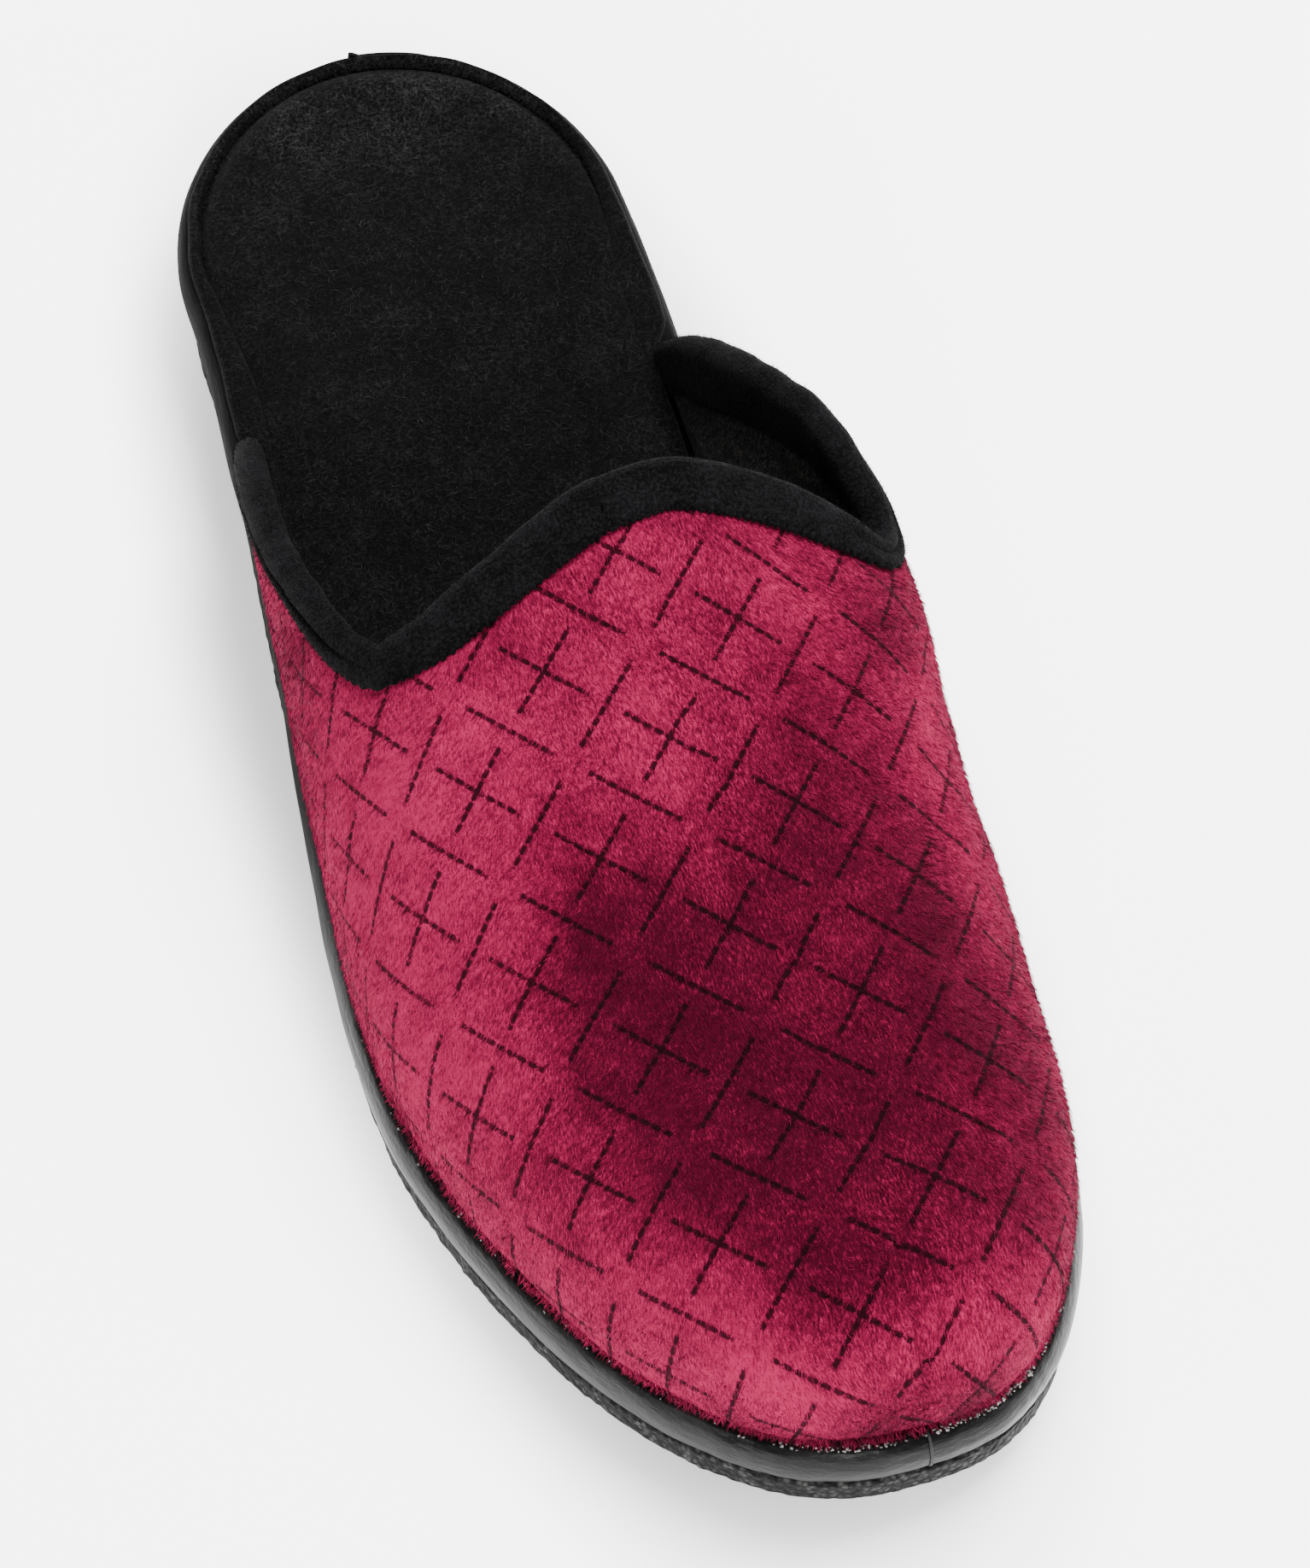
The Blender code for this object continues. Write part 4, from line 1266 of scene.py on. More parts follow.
    def nap(self, ring: Array, plush: Material) -> None:
        """Short hairs of the plush, which soften its outline.

        Args:
            ring: the tape's sections.
            plush: finish of the hairs.
        """
        rng = np.random.default_rng(17)
        shown = 29      # places of a section that are outside, from the outer leg's end to the inner one's
        i = rng.integers(0, len(ring) - 1, self.hair_count)
        k = rng.integers(0, shown - 1, self.hair_count)
        p, q = rng.random((2, self.hair_count, 1))
        roots = ((ring[i, k] * (1 - p) + ring[i + 1, k] * p) * (1 - q)
                 + (ring[i, k + 1] * (1 - p) + ring[i + 1, k + 1] * p) * q)
        along_tape, across = ring[i + 1, k] - ring[i, k], ring[i, k + 1] - ring[i, k]
        up = unit(np.cross(along_tape, across))
        middle = ring[:, :shown].mean(1)[i]
        up *= np.sign((up * (roots - middle)).sum(1))[:, None]
        lean = unit(up + unit(along_tape) * 0.5 + rng.normal(scale=0.45, size=roots.shape))
        length = self.hair_length * rng.uniform(0.5, 1.3, (len(roots), 1))
        hairs = hair_piece("binding_nap", roots - up * 0.0001, roots + lean * length,
                           0.00011 * rng.uniform(0.7, 1.3, len(roots)))
        finish_piece(hairs, [plush], Slot.PLUSH)


@dataclass(frozen=True)
class Ring:
    """One ring of a sole piece: an inset from the sole's edge, a height, and a draw to the middle."""

    inset: float | Height
    height: Height
    draw: float = 1.0      # 1 at the edge, 0 on the sole's middle line


def ring_bmesh(rings: Sequence[Ring], stations: int, relief: Surface | None = None) -> BMesh:
    """Closed piece that follows the sole's edge, from its lowest ring to its last.

    Args:
        rings: the piece's rings; the first and the last are drawn to the middle line.
        stations: stations from heel to toe on each side.
        relief: how far a point is moved along the edge's normal, from points and normals.

    Returns:
        The bmesh.
    """
    loops = []
    for ring in rings:
        loop, normal = LAST.plan_loop(stations, ring.inset)
        if ring.draw < 1.0:
            middle = LAST.centre_x(loop[:, 1])
            loop = np.column_stack([middle + (loop[:, 0] - middle) * ring.draw,
                                    loop[:, 1] * (0.90 + 0.10 * ring.draw)])
        points = np.column_stack([loop, ring.height(loop[:, 1])])
        if relief is not None and ring.draw >= 1.0:
            points[:, :2] += normal * relief(points, normal)[:, None]
        loops.append(points)
    table = np.stack(loops)
    size = 2 * stations

    def place(u: Array, v: Array) -> Array:
        """Looks a corner up in the rings."""
        return table[np.rint(u * (len(rings) - 1)).astype(int), np.rint(v * size).astype(int) % size]

    return grid_bmesh(len(rings) - 1, size, place)


@dataclass
class Platform:
    """Wedge platform in its wrap: the band bulges round the side and rolls over the rim."""

    rim_inset: float = 0.0022
    seat_heel: float = 0.0038
    seat_front: float = 0.0053
    seat_depth: float = 0.0018
    seat_lip: float = 0.0009
    waist_draw: float = 0.0014      # the cloth hangs over the band at the outer waist
    strip_wall: float = 0.0004
    stations: int = 300
    lap_end: float = -0.0026      # the lapped end, along the edge from the middle of the heel
    joint_at: tuple[float, float] = (-0.0076, 0.1385)      # the crease at the toe
    # Side of the band from its foot up: share of the rim inset, share of the band's height
    profile: tuple[tuple[float, float], ...] = (
        (1.60, 0.00), (1.00, 0.005), (0.66, 0.04), (0.40, 0.10), (0.20, 0.19), (0.05, 0.32), (0.0, 0.45),
        (0.00, 0.55), (0.08, 0.66), (0.23, 0.77), (0.40, 0.86), (0.60, 0.93), (0.85, 0.985), (1.15, 1.0),
    )

    def seat(self, extra: float) -> Height:
        """Inset of the insole's seat, with an extra inset."""
        return lambda s: self.seat_heel + (self.seat_front - self.seat_heel) * ramp((s - 0.15) / 0.09) + extra

    def dents(self, points: Array, normal: Array) -> Array:
        """Slight unevenness of the drawn wrap, with shallow draw marks round the toe.

        Args:
            points: places on the band.
            normal: outward normals of the sole's edge.

        Returns:
            How far each point stands out, in metres.
        """
        angle = np.arctan2(normal[:, 0], normal[:, 1])
        toe = ramp((LAST.share(points[:, 1]) - 0.72) / 0.2)
        marks = np.sin(angle * 46 + 3 * np.sin(angle * 9)) * toe
        s = LAST.share(points[:, 1])
        waist = ramp((s - 0.25) / 0.08) * (1 - ramp((s - 0.38) / 0.10)) * ramp(normal[:, 0])
        up = (points[:, 2] - LAST.groove_line(points[:, 1])) / LAST.band_height
        drawn = self.waist_draw * waist * ramp((1.0 - up) / 0.35)
        return 0.00008 * ripple(points, 0.012, 41) + 0.00004 * marks - drawn

    def build(self, wrap: Material, dark: Material) -> None:
        """Makes the wrapped platform, the lap of the band at the heel and the joint at the toe.

        Args:
            wrap: finish of the band.
            dark: finish of the joint's crease.
        """
        body = LAST.band_height - LAST.gap

        def side(share: float) -> Height:
            """Height at a share of the band."""
            return lambda y: LAST.groove_line(y) + LAST.gap + share * body

        rings = [Ring(0.004, side(0.0), 0.0), Ring(0.004, side(0.0))]
        rings += [Ring(self.rim_inset * inset, side(height)) for inset, height in self.profile]
        rings += [
            Ring(self.seat(-self.seat_lip), side(1.0)),
            Ring(self.seat(-0.45 * self.seat_lip), lambda y: LAST.top_line(y) - 0.45 * self.seat_lip),
            Ring(self.seat(0.0), lambda y: LAST.top_line(y) - self.seat_depth),
            Ring(self.seat(0.0), lambda y: LAST.top_line(y) - self.seat_depth, 0.0),
        ]
        obj = link_object("wrapped_platform", ring_bmesh(rings, self.stations, self.dents))
        finish_piece(obj, [wrap], Slot.SATIN, ["midsole"])
        self.lap(wrap)
        self.joint(dark)

    def lap(self, wrap: Material) -> None:
        """End of the band lapped over its start at the heel, with a small pointed tip that stands up."""
        self.strip("band_lap", wrap, 0.00045, 0.0013, lambda run, loop: self.lap_end, 0.0150)

    def joint(self, dark: Material) -> None:
        """Crease where the band's ends meet at the toe."""
        def place(run: Array, loop: Array) -> float:
            """Place of the crease along the edge."""
            return float(run[np.linalg.norm(loop - np.array(self.joint_at), axis=1).argmin()])

        self.strip("band_joint", dark, 0.00010, 0.0, place, 0.00035)

    def strip(self, name: str, look: Material, skin: float, tip: float, end: Callable[..., float],
              width: float) -> None:
        """Patch that lies on the band's side from its foot over the rim.

        Args:
            name: the piece's name.
            look: its material.
            skin: how far it lies on the band.
            tip: rise of its upper corner.
            end: place of its last edge along the sole's edge, from the run and the points.
            width: width along the edge.
        """
        height = LAST.band_height * 0.97
        loop, normal = LAST.plan_loop(LAST.dense, 0.0)
        step = np.linalg.norm(np.roll(loop, -1, 0) - loop, axis=1)
        run = np.concatenate([[0], np.cumsum(step)])[:-1]
        last = end(run, loop)

        def place(u: Array, v: Array) -> Array:
            """Patch of the band's side from its foot (u = 0) over the rim (u = 1), along the edge by v.

            Args:
                u: share of the band's height.
                v: share of the patch's width.

            Returns:
                Points on the band.
            """
            at = last + (v - 1.0) * width
            at = np.where(at < 0, at + run[-1] + step[-1], at)
            foot = np.stack([np.interp(at, run, loop[:, k]) for k in (0, 1)], -1)
            out = unit(np.stack([np.interp(at, run, normal[:, k]) for k in (0, 1)], -1))
            inset = self.rim_inset * np.interp(u, [h for _, h in self.profile], [i for i, _ in self.profile])
            rise = tip * ramp((v - 0.86) / 0.14) * ramp((u - 0.80) / 0.20)
            z = LAST.groove_line(foot[:, 1]) + LAST.gap + u * height + rise
            lift = skin * ramp(v / 0.25) * (0.6 + 0.4 * ramp(v))
            return np.column_stack([foot + out * (lift - inset)[:, None], z])

        obj = link_object(name, grid_bmesh(26, 24, place))
        thicken(obj, self.strip_wall, 0.0)
        finish_piece(obj, [look], Slot.SATIN)


@dataclass
class Insole:
    """Felt sock on its pad: crowned edge, dished heel, a soft crease at the waist and loose fibres."""

    gap: float = 0.0004
    crown: float = 0.0012
    edge: float = 0.0045
    dish: float = 0.0016
    seat_depth: float = 0.0018
    rim_inset: float = 0.0018
    stations: int = 300
    fibres: int = 7000
    seam_hairs: int = 9000
    # Crease at the waist, from its back end to its front end: x, y in metres, depth in mm
    crease: tuple[tuple[float, float, float], ...] = (
        (-0.0120, -0.0690, 0.0), (-0.0150, -0.0660, 0.7), (-0.0168, -0.0620, 1.3), (-0.0166, -0.0560, 1.3),
        (-0.0150, -0.0450, 1.4), (-0.0140, -0.0340, 0.8), (-0.0140, -0.0260, 0.0),
    )

    def heel(self, y: Array) -> Array:
        """How much the dish counts at y: 1 at the heel's back, 0 in front of the waist."""
        return np.clip(1 - LAST.share(y) / 0.42, 0, 1) ** 0.7

    def level(self, y: Array, crown: float, dish: float) -> Array:
        """Height of the pad at y."""
        crown = crown + (max(crown, 0.35) - crown) * ramp((LAST.share(y) - 0.20) / 0.10)
        return LAST.top_line(y) + crown * self.crown - dish * self.dish * self.heel(y)

    def build(self, platform: Platform, felt: Material, hair: Material) -> None:
        """Makes the insole and the fibres that lie on it.

        Args:
            platform: the platform, whose seat the pad lies in.
            felt: finish of the pad.
            hair: finish of the loose fibres.
        """
        def ring(edge: float, crown: float, dish: float, draw: float = 1.0) -> Ring:
            """Ring at a share of the rounded edge."""
            inset = platform.seat(self.gap + edge * self.edge)
            return Ring(inset, lambda y: self.level(y, crown, dish), draw)

        def bottom(y: Array) -> Array:
            """Height of the pad's underside."""
            return LAST.top_line(y) - self.seat_depth + LAST.gap

        foot = platform.seat(1.5 * self.gap)
        rings = [Ring(foot, bottom, 0.0), Ring(foot, bottom)]
        rings.append(Ring(platform.seat(self.gap), lambda y: LAST.top_line(y) - 0.5 * self.seat_depth))
        for edge, crown in ((0.0, -0.75), (0.08, -0.45), (0.20, -0.05), (0.36, 0.36), (0.56, 0.70),
                            (0.78, 0.92)):
            rings.append(ring(edge, crown, 0.0))
        for k in range(37):
            draw = 1 - k / 36
            rings.append(ring(1.0, 1.0 - 0.3 * (1 - draw) ** 2, 1 - draw ** 2.2, draw))
        bm = ring_bmesh(rings, self.stations)
        path = np.array([row[:2] for row in self.crease])
        for vert in bm.verts:
            if vert.co.z > float(LAST.top_line(vert.co.y)) - 0.0002:
                vert.co.z += self.unevenness(np.array(vert.co[:]), path)
        obj = link_object("felt_insole", bm)
        finish_piece(obj, [felt], Slot.FELT, ["insole"])
        self.rim(platform, felt)
        self.fuzz(platform, felt)
        self.loose_fibres(hair)

    def rim(self, platform: Platform, felt: Material) -> None:
        """Felt turned over the platform's rim, outside the sunk seam round the pad.

        Args:
            platform: the platform that the rim lies on.
            felt: its finish.
        """
        def outer(extra: float) -> Height:
            """Inset of the rim's outer side: it draws in where the upper's wall stands."""
            return lambda s: self.rim_inset + extra + 0.0038 * ramp((s - 0.248) / 0.03)

        def height(rise: float) -> Height:
            """Height over the platform's rim."""
            return lambda y: LAST.top_line(y) + rise

        def inner(extra: float) -> Height:
            """Inset of the rim's inner side: it reaches the pad where the seam ends at the waist."""
            return lambda s: platform.seat(extra)(s) + 0.0024 * ramp((s - 0.07) / 0.16)

        rings = [Ring(outer(extra), height(rise)) for extra, rise in
                 ((0.0004, -0.0006), (0.0, 0.0002), (0.0003, 0.0006), (0.0007, 0.0009))]
        rings += [Ring(inner(extra), height(rise)) for extra, rise in
                  ((-0.0013, 0.0008), (-0.0008, 0.0005), (-0.0003, -0.0002), (0.0, -0.0009))]
        rings.append(rings[0])
        bm = ring_bmesh(rings, self.stations, lambda points, normal: 0.00018 * ripple(points, 0.009, 57))
        bmesh.ops.recalc_face_normals(bm, faces=bm.faces)
        finish_piece(link_object("felt_rim", bm), [felt], Slot.FELT)

    def fuzz(self, platform: Platform, felt: Material) -> None:
        """Short felt hairs over the seam between the pad, the rim and the upper's wall.

        Args:
            platform: the platform, whose seat the seam follows.
            felt: finish of the hairs.
        """
        rng = np.random.default_rng(37)
        loop, normal = LAST.plan_loop(LAST.dense, platform.seat(0.0))
        near = np.flatnonzero(LAST.share(loop[:, 1]) < 0.52)
        step = np.linalg.norm(np.roll(loop, -1, 0) - loop, axis=1)[near]
        pick = rng.choice(near, self.seam_hairs, p=step / step.sum())
        share = rng.random((self.seam_hairs, 1))
        at = loop[pick] * (1 - share) + np.roll(loop, -1, 0)[pick] * share
        out = normal[pick]
        side = rng.choice((-1.0, 1.0), (self.seam_hairs, 1))
        start = at + out * side * rng.uniform(0.0002, 0.0011, (self.seam_hairs, 1))
        roots = np.column_stack([start, LAST.top_line(start[:, 1]) - 0.0001])
        run = np.column_stack([-out * side * 0.9, np.full(self.seam_hairs, 0.55)])
        run = unit(run + rng.normal(scale=0.45, size=run.shape))
        run[:, 2] = np.abs(run[:, 2])
        tips = roots + run * rng.uniform(0.0006, 0.0014, (self.seam_hairs, 1))
        hairs = hair_piece("seam_fuzz", roots, tips, 0.00012 * rng.uniform(0.6, 1.3, self.seam_hairs))
        finish_piece(hairs, [felt], Slot.FELT)

    def unevenness(self, point: Array, path: Array) -> float:
        """Small rise or dip of the felt at one point.

        Args:
            point: a place on the felt.
            path: the crease's line.

        Returns:
            The rise, in metres.
        """
        rise = sum(size * float(ripple(point[None], wavelength, seed)[0])
                   for size, wavelength, seed in ((0.00018, 0.016, 51), (0.00007, 0.005, 53)))
        start, run = path[:-1], np.diff(path, axis=0)
        share = np.clip(((point[:2] - start) * run).sum(1) / (run * run).sum(1), 0, 1)
        distance = np.linalg.norm(point[:2] - start - run * share[:, None], axis=1)
        k = int(distance.argmin())
        depth = self.crease[k][2] * (1 - share[k]) + self.crease[k + 1][2] * share[k]
        return rise - depth * MM * math.exp(-(distance[k] / 0.0016) ** 2)

    def loose_fibres(self, hair: Material) -> None:
        """Fine curved hairs on the felt.

        Args:
            hair: finish of the fibres.
        """
        rng = np.random.default_rng(23)
        s = rng.uniform(0.02, 0.62, self.fibres * 2)
        y = (s - 0.5) * LAST.length
        loop, _ = LAST.plan_loop(LAST.dense, 0.008)
        right = np.interp(y, loop[:LAST.dense + 1, 1], loop[:LAST.dense + 1, 0])
        left = np.interp(y, loop[:LAST.dense:-1, 1], loop[:LAST.dense:-1, 0])
        x = left + (right - left) * rng.uniform(0.0, 1.0, len(y))
        keep = (right - left) > 0.01
        x, y = x[keep][:self.fibres], y[keep][:self.fibres]
        middle = LAST.centre_x(y)
        draw = np.clip(np.abs(x - middle) / 0.036, 0, 1)
        z = self.level(y, 0.92, 1.0) + draw ** 2.2 * self.dish * self.heel(y) + 0.00030
        roots = np.column_stack([x, y, z])
        turn = rng.uniform(0, 2 * np.pi, len(x))
        length = 0.0005 + 0.0018 * rng.random(len(x)) ** 2.5
        tips = roots + np.column_stack([np.cos(turn) * length, np.sin(turn) * length,
                                        rng.uniform(0.0, 0.0004, len(x))])
        bend = np.column_stack([-np.sin(turn), np.cos(turn), rng.uniform(0.2, 0.6, len(x))])
        bend *= (rng.uniform(-0.16, 0.16, len(x)) * length)[:, None]
        bend[:, 2] = np.abs(bend[:, 2])
        obj = hair_piece("insole_fibres", roots, tips, np.full(len(x), 0.00004), bend, rings=3)
        finish_piece(obj, [hair], Slot.FELT)


@dataclass
class Outsole:
    """Rubber outsole: pebbled side, chamfered lower edge and a tread of cross grooves."""

    inset: float = 0.0012
    chamfer: float = 0.0016
    groove: float = 0.0008
    tread_depth: float = 0.0018
    tread_width: float = 0.0026
    tread_pitch: float = 0.013
    tread_margin: float = 0.013
    fine_depth: float = 0.0005
    fine_width: float = 0.0014
    spans: tuple[tuple[float, float], ...] = ((0.08, 0.24), (0.58, 0.86))
    fine_spans: tuple[tuple[float, float], ...] = ((0.06, 0.27), (0.55, 0.90))
    stations: int = 400
    side_rows: int = 11
    heel_draw: float = 0.0014      # further inset of the side behind the waist

    def pebbles(self, points: Array, normal: Array) -> Array:
        """Coarse pebble of the mould face on the side."""
        lumps = ripple(points, 0.0034, 61) * ripple(points, 0.0026, 63)
        return 0.00020 * lumps + 0.00008 * ripple(points, 0.0019, 65)

    def tread(self, x: Array, y: Array) -> Array:
        """Depth of the cross grooves and of the fine ones between them.

        Args:
            x: places across the underside.
            y: places along it.

        Returns:
            The depths, in metres.
        """
        s = LAST.share(y)
        beside = LAST.ball_width * along(PLAN, 1, s) / 2 - np.abs(x - LAST.centre_x(y))
        depth = np.zeros_like(y)
        for pitch, width, deep, margin, spans in (
                (self.tread_pitch, self.tread_width, self.tread_depth, self.tread_margin, self.spans),
                (self.tread_pitch / 3, self.fine_width, self.fine_depth, 0.012, self.fine_spans)):
            for first, last in spans:
                step = (y - (first - 0.5) * LAST.length) / pitch
                runs = np.floor((last - first) * LAST.length / pitch)
                nearest = np.clip(np.rint(step), 0, runs)
                away = np.abs(step - nearest) * pitch
                groove = ramp((width / 2 + 0.0003 - away) / 0.0006) * ramp((beside - margin) / 0.0012)
                depth = np.maximum(depth, deep * groove)
        return depth

    def build(self, rubber: Material) -> None:
        """Makes the outsole and its tread.

        Args:
            rubber: its finish.
        """
        rings = [Ring(self.inset + 0.004, LAST.floor_line, draw / 28) for draw in range(29)]
        rounding = self.inset + 0.45 * self.chamfer + 0.0002
        rings += [Ring(self.inset + self.chamfer, LAST.floor_line),
                  Ring(rounding, lambda y: LAST.floor_line(y) + 0.16 * self.chamfer)]

        def level(share: float) -> Height:
            """Height at a share of the side above the chamfer."""
            def z(y: Array) -> Array:
                """Height of the side at y."""
                low = LAST.floor_line(y) + self.chamfer
                return low + share * (LAST.groove_line(y) - self.groove - low)
            return z

        def side(s: Array) -> Array:
            """Inset of the side, drawn in behind the waist."""
            return self.inset + self.heel_draw * (1 - ramp((s - 0.40) / 0.2))

        rings += [Ring(side, level(k / self.side_rows)) for k in range(self.side_rows + 1)]
        rings += [Ring(self.inset + self.groove, LAST.groove_line),
                  Ring(self.inset + self.groove, LAST.groove_line, 0.0)]
        bm = ring_bmesh(rings, self.stations, self.pebbles)
        under = [vert for vert in bm.verts if vert.co.z < float(LAST.floor_line(vert.co.y)) + 1e-6]
        place = np.array([vert.co[:] for vert in under])
        for vert, depth in zip(under, self.tread(place[:, 0], place[:, 1])):
            vert.co.z += float(depth)
        obj = link_object("rubber_outsole", bm)
        finish_piece(obj, [rubber], Slot.RUBBER, ["outsole"])


@dataclass
class FeatherLine:
    """Where the vamp meets the platform: frayed pile over the channel and specks of glue at the toe."""

    pile_hairs: int = 5200
    dark_hairs: int = 4200
    specks: int = 220

    def at(self, share: Array, side: Array, inset: float) -> tuple[Array, Array]:
        """Points and outward normals on the sole's edge.

        Args:
            share: place from heel to toe, 0 to 1, by the last's own spacing.
            side: 0 for the outer side, 1 for the inner side.
            inset: distance in from the edge.
        """
        points, normals = LAST.sides(LAST.dense, inset)
        grid = np.linspace(0, 1, LAST.dense + 1)
        found = []
        for rows in (points, normals):
            xy = [np.where(side > 0, np.interp(share, grid, rows[1][:, k]),
                           np.interp(share, grid, rows[0][:, k]))
                  for k in (0, 1)]
            found.append(np.stack(xy, -1))
        return found[0], unit(found[1])

    def build(self, velour: Material, dark: Material, glue: Material, vamp: Vamp) -> None:
        """Makes the hairs and the specks.

        Args:
            velour: finish of the frayed pile.
            dark: finish of the fluff.
            glue: finish of the specks.
            vamp: the vamp, whose print the pile carries.
        """
        rng = np.random.default_rng(29)
        count = self.pile_hairs
        share, side = rng.uniform(0.38, 1.0, count), rng.integers(0, 2, count)
        base, out = self.at(share, side, LAST.feather_inset + 0.0003)
        z = LAST.top_line(base[:, 1]) + rng.uniform(0.0008, 0.0026, count)
        roots = np.column_stack([base + out * 0.0004, z])
        swing = rng.normal(scale=0.35, size=(count, 3))
        run = unit(np.column_stack([out * 0.55, np.full(count, -0.85)]) + swing)
        tips = roots + run * rng.uniform(0.0008, 0.0019, (count, 1))
        tips[:, 2] = np.maximum(tips[:, 2], LAST.top_line(tips[:, 1]) + 0.0002)
        w = np.where(side > 0, 1.985, 0.015)
        start = LAST.edge_start(w)
        u = np.clip((share - start) / (1 - start), 0, 1)
        u = (-0.4 + np.sqrt(0.16 + 2.4 * u)) / 1.2      # undoes the rows' closer spacing at the top edge
        v = np.interp(w, vamp.fine_places, np.linspace(0, 1, len(vamp.fine_places)))
        charts = {"cloth": vamp.flat_mm(u, v), "check": vamp.check(u, v), "nap": vamp.tone(u, v)}
        hairs = hair_piece("feather_pile", roots, tips, 0.00018 * rng.uniform(0.6, 1.3, count), charts=charts)
        finish_piece(hairs, [velour], Slot.VELOUR)

        count = self.dark_hairs
        share, side = rng.uniform(0.40, 1.0, count), rng.integers(0, 2, count)
        base, out = self.at(share, side, 0.0022)
        roots = np.column_stack([base - out * rng.uniform(0.0, 0.0009, (count, 1)),
                                 LAST.top_line(base[:, 1])])
        run = np.column_stack([out * 0.35, np.full(count, 0.55)]) + rng.normal(scale=0.5, size=(count, 3))
        run[:, 2] = np.abs(run[:, 2])
        tips = roots + unit(run) * rng.uniform(0.0004, 0.0011, (count, 1))
        hairs = hair_piece("channel_fluff", roots, tips, 0.00013 * rng.uniform(0.6, 1.3, count))
        finish_piece(hairs, [dark], Slot.PLUSH)

        bm = bmesh.new()
        share = np.concatenate([rng.uniform(0.90, 1.0, self.specks * 3 // 4),
                                rng.uniform(0.55, 0.9, self.specks // 4)])
        side = np.where(np.arange(len(share)) % 3 == 0, 0, 1)
        base, out = self.at(share, side, LAST.feather_inset - 0.0004)
        for point, away in zip(base, out):
            made = bmesh.ops.create_icosphere(bm, subdivisions=1, radius=1.0)["verts"]
            place = Vector((*(point + away * rng.uniform(-0.0002, 0.0008)),
                            float(LAST.top_line(point[1])) + rng.uniform(0.0001, 0.0005)))
            size = Matrix.Diagonal((rng.uniform(0.0001, 0.00034), rng.uniform(0.0001, 0.0003), 0.00012, 1.0))
            turn = Matrix.Rotation(rng.uniform(0, math.pi), 4, "Z")
            turn = turn @ Matrix.Rotation(rng.uniform(-0.6, 0.6), 4, "X")
            bmesh.ops.transform(bm, matrix=Matrix.Translation(place) @ turn @ size, verts=made)
        finish_piece(link_object("glue_specks", bm), [glue], Slot.SATIN)


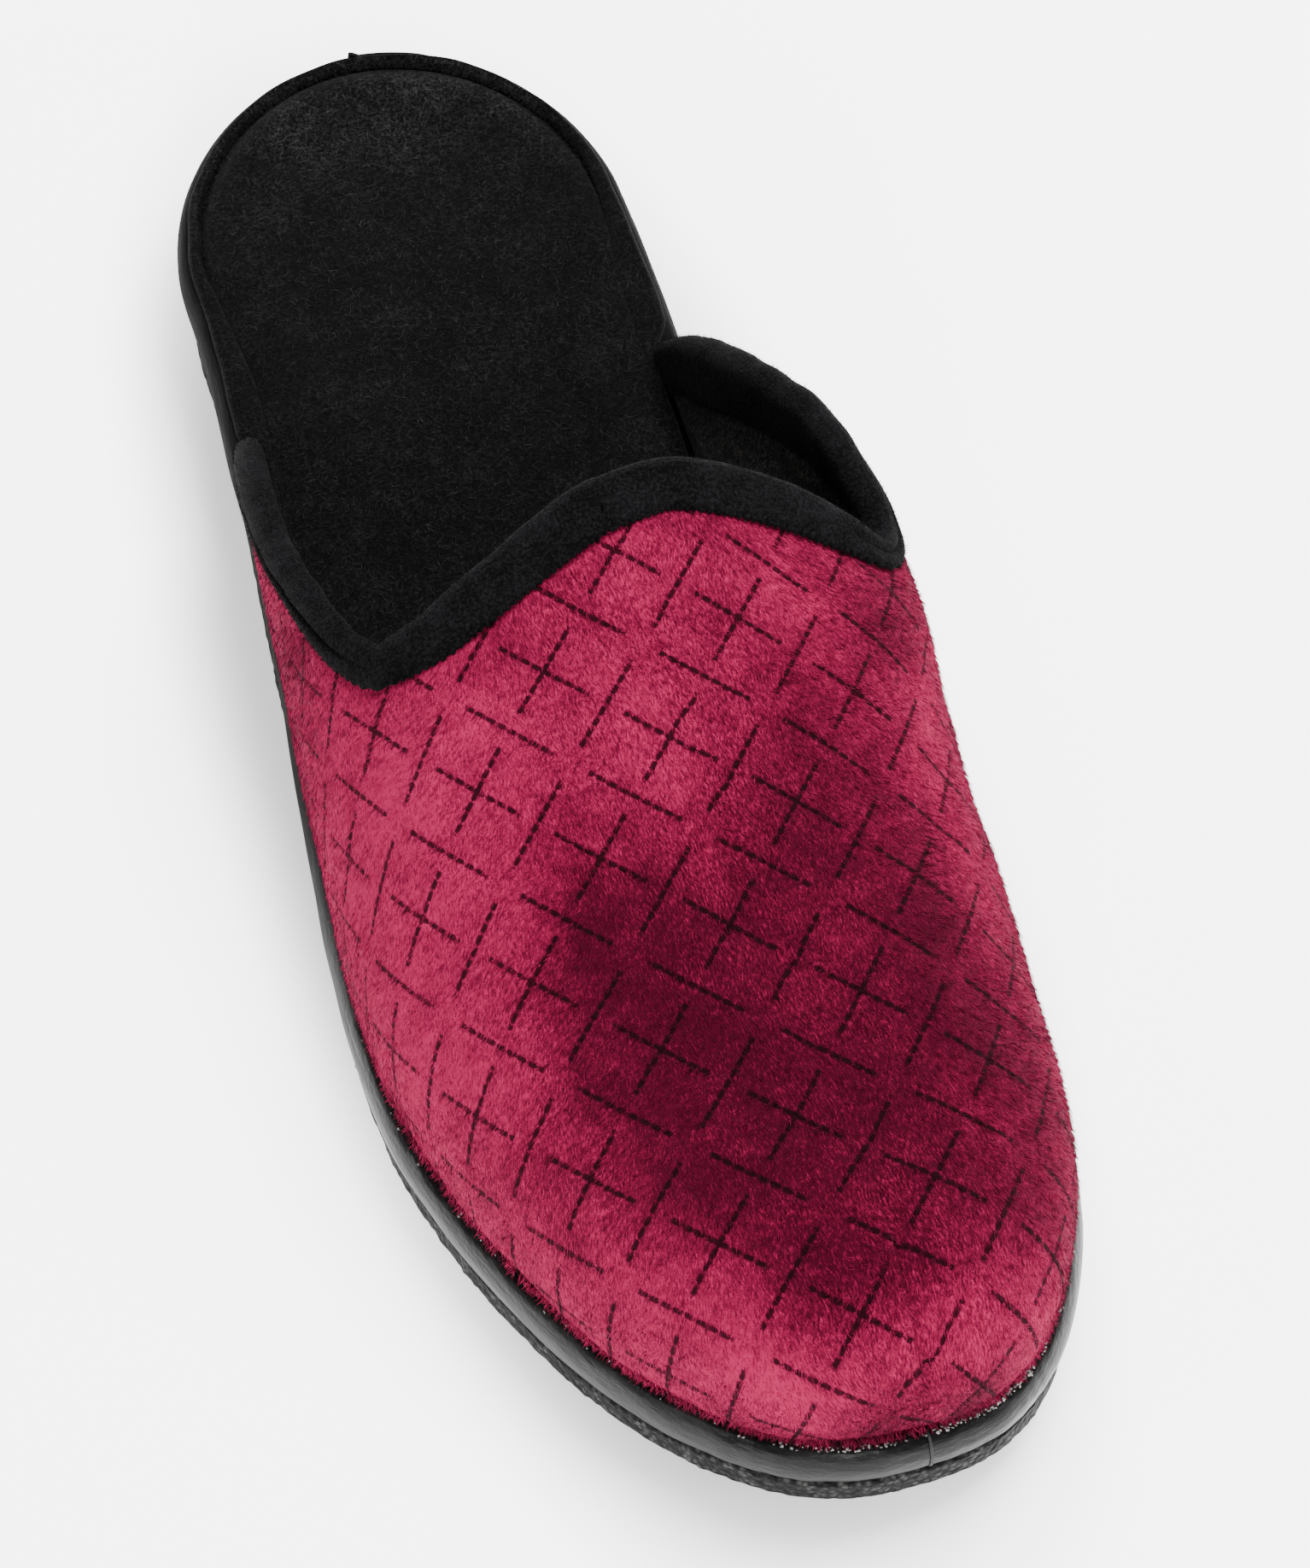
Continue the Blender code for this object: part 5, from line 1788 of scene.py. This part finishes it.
@dataclass
class Studio:
    """Plain pale floor, soft lights and the camera at the photograph's angle."""

    elevation: float = 55.45          # degrees above the floor
    turn: float = 17.55               # degrees from the toe towards the outer side
    roll: float = -0.79
    distance: float = 1.405
    target: tuple[float, float, float] = (-0.0058, 0.01285, 0.02)
    focal_pixels: float = 10439.0
    image_width: float = 1534.0
    sensor: float = 36.0
    glow: float = 3.4
    # Half sizes of the oval of painted shadow round the shoe on the floor
    shade_half_width: float = 0.050
    shade_half_length: float = 0.139

    def camera(self) -> None:
        """Places the camera."""
        e, psi, roll = (math.radians(a) for a in (self.elevation, self.turn, self.roll))
        back = Vector((math.sin(psi) * math.cos(e), math.cos(psi) * math.cos(e), math.sin(e)))
        right = (-back).cross(Vector((0, 0, 1))).normalized()
        up = right.cross(-back)
        right, up = (right * math.cos(roll) + up * math.sin(roll),
                     up * math.cos(roll) - right * math.sin(roll))
        data = bpy.data.cameras.new("camera")
        data.sensor_fit = "HORIZONTAL"
        data.sensor_width = self.sensor
        data.lens = self.focal_pixels * self.sensor / self.image_width
        data.clip_end = 20.0
        camera = add_object("camera", data)
        place = Matrix((right, up, back)).transposed().to_4x4()
        place.translation = Vector(self.target) + SHIFT + back * self.distance
        camera.matrix_world = place
        bpy.context.scene.camera = camera

    def light(self, name: str, place: tuple[float, float, float], aim: tuple[float, float, float],
              size: float, power: float) -> None:
        """Adds a square area light that looks at a point.

        Args:
            name: the light's name.
            place: where it stands.
            aim: the point that it looks at.
            size: side of its square, in metres.
            power: its power, in watts.
        """
        data = bpy.data.lights.new(name, "AREA")
        data.size = size
        data.energy = power
        lamp = add_object(name, data)
        lamp.location = place
        lamp.rotation_euler = (Vector(aim) - Vector(place)).to_track_quat("-Z", "Y").to_euler()

    def floor(self) -> None:
        """Lays a plain white floor that glows softly, with a painted shadow: the glow is weaker round the
        shoe, where the shoe would shade it.
        """
        bm = bmesh.new()
        bmesh.ops.create_grid(bm, x_segments=1, y_segments=1, size=6.0)
        bmesh.ops.translate(bm, verts=bm.verts, vec=(0.0, 0.0, -0.0002))
        obj = link_object("floor", bm)
        tree = Tree("white_floor_painted_shadow")
        place = tree.add("TexCoord", out="Object")
        far: object = 0.0
        for axis, half in (("X", self.shade_half_width), ("Y", self.shade_half_length)):
            away = tree.add("Math.ABSOLUTE", (tree.add("SeparateXYZ", (place,), axis),))
            share = tree.add("Math.DIVIDE", (away, half))
            far = tree.add("Math.ADD", (far, tree.add("Math.POWER", (share, 2.4))))
        # Painted shadow: the floor's glow drops inside the oval round the shoe
        glow = tree.add("MapRange.SMOOTHSTEP", (far, 0.75, 1.75, 0.15 * self.glow, self.glow))
        tree.feed(tree.shader, {"Base Color": srgb("#f4f4f4"), "Roughness": 0.9, "Specular IOR Level": 0.1,
                                "Emission Color": srgb("#ffffff"), "Emission Strength": glow})
        obj.data.materials.append(tree.material)

    def build(self) -> None:
        """Sets up floor, world, lights and camera."""
        self.floor()
        world = bpy.data.worlds.new("studio")
        world.use_nodes = True
        world.node_tree.nodes["Background"].inputs["Color"].default_value = (1.0, 1.0, 1.0, 1.0)
        world.node_tree.nodes["Background"].inputs["Strength"].default_value = 0.42
        bpy.context.scene.world = world
        self.light("key", (-0.5, -0.1, 1.5), (0.0, 0.02, 0.02), 0.8, 62.0)
        self.light("front", (0.55, 1.7, 0.85), (0.0, 0.05, 0.02), 0.28, 24.0)
        self.light("outer_side", (1.8, 0.5, 0.9), (0.0, 0.05, 0.02), 0.35, 12.0)
        self.light("inner_side", (-1.4, 1.3, 0.8), (0.0, 0.05, 0.02), 0.35, 10.0)
        self.light("back", (-0.3, -1.3, 1.0), (0.0, 0.0, 0.02), 0.8, 12.0)
        self.camera()


def main() -> None:
    """Builds the slipper and its studio."""
    logging.basicConfig(level=logging.INFO, format="%(name)s: %(message)s")
    velour, plush, felt = Velour().make(), Plush().make(), Felt().make()
    # Painted light: the lining is the same felt made lighter, to make up for the shade inside the vamp
    lining = Felt("lining_felt_painted_light", "#100f0f", "#4a4846").make()
    wrap, rubber = SatinWrap().make(), MouldedRubber().make()
    yarn = Yarn("overlock_yarn", "#060606", "#2a2a2b").make()
    hair = Yarn("loose_felt_fibre", "#080808", "#3a3835").make()
    fluff = Yarn("channel_fluff_black", "#050505", "#232223").make()
    glue = Yarn("dried_glue", "#3f3d3c", "#a5a3a0", 0.35).make()
    vamp, platform = Vamp(), Platform()
    vamp.build(velour, lining)
    Binding().build(plush, yarn)
    platform.build(wrap, fluff)
    Insole().build(platform, felt, hair)
    Outsole().build(rubber)
    FeatherLine().build(velour, fluff, glue, vamp)
    Studio().build()


if __name__ == "__main__":
    main()
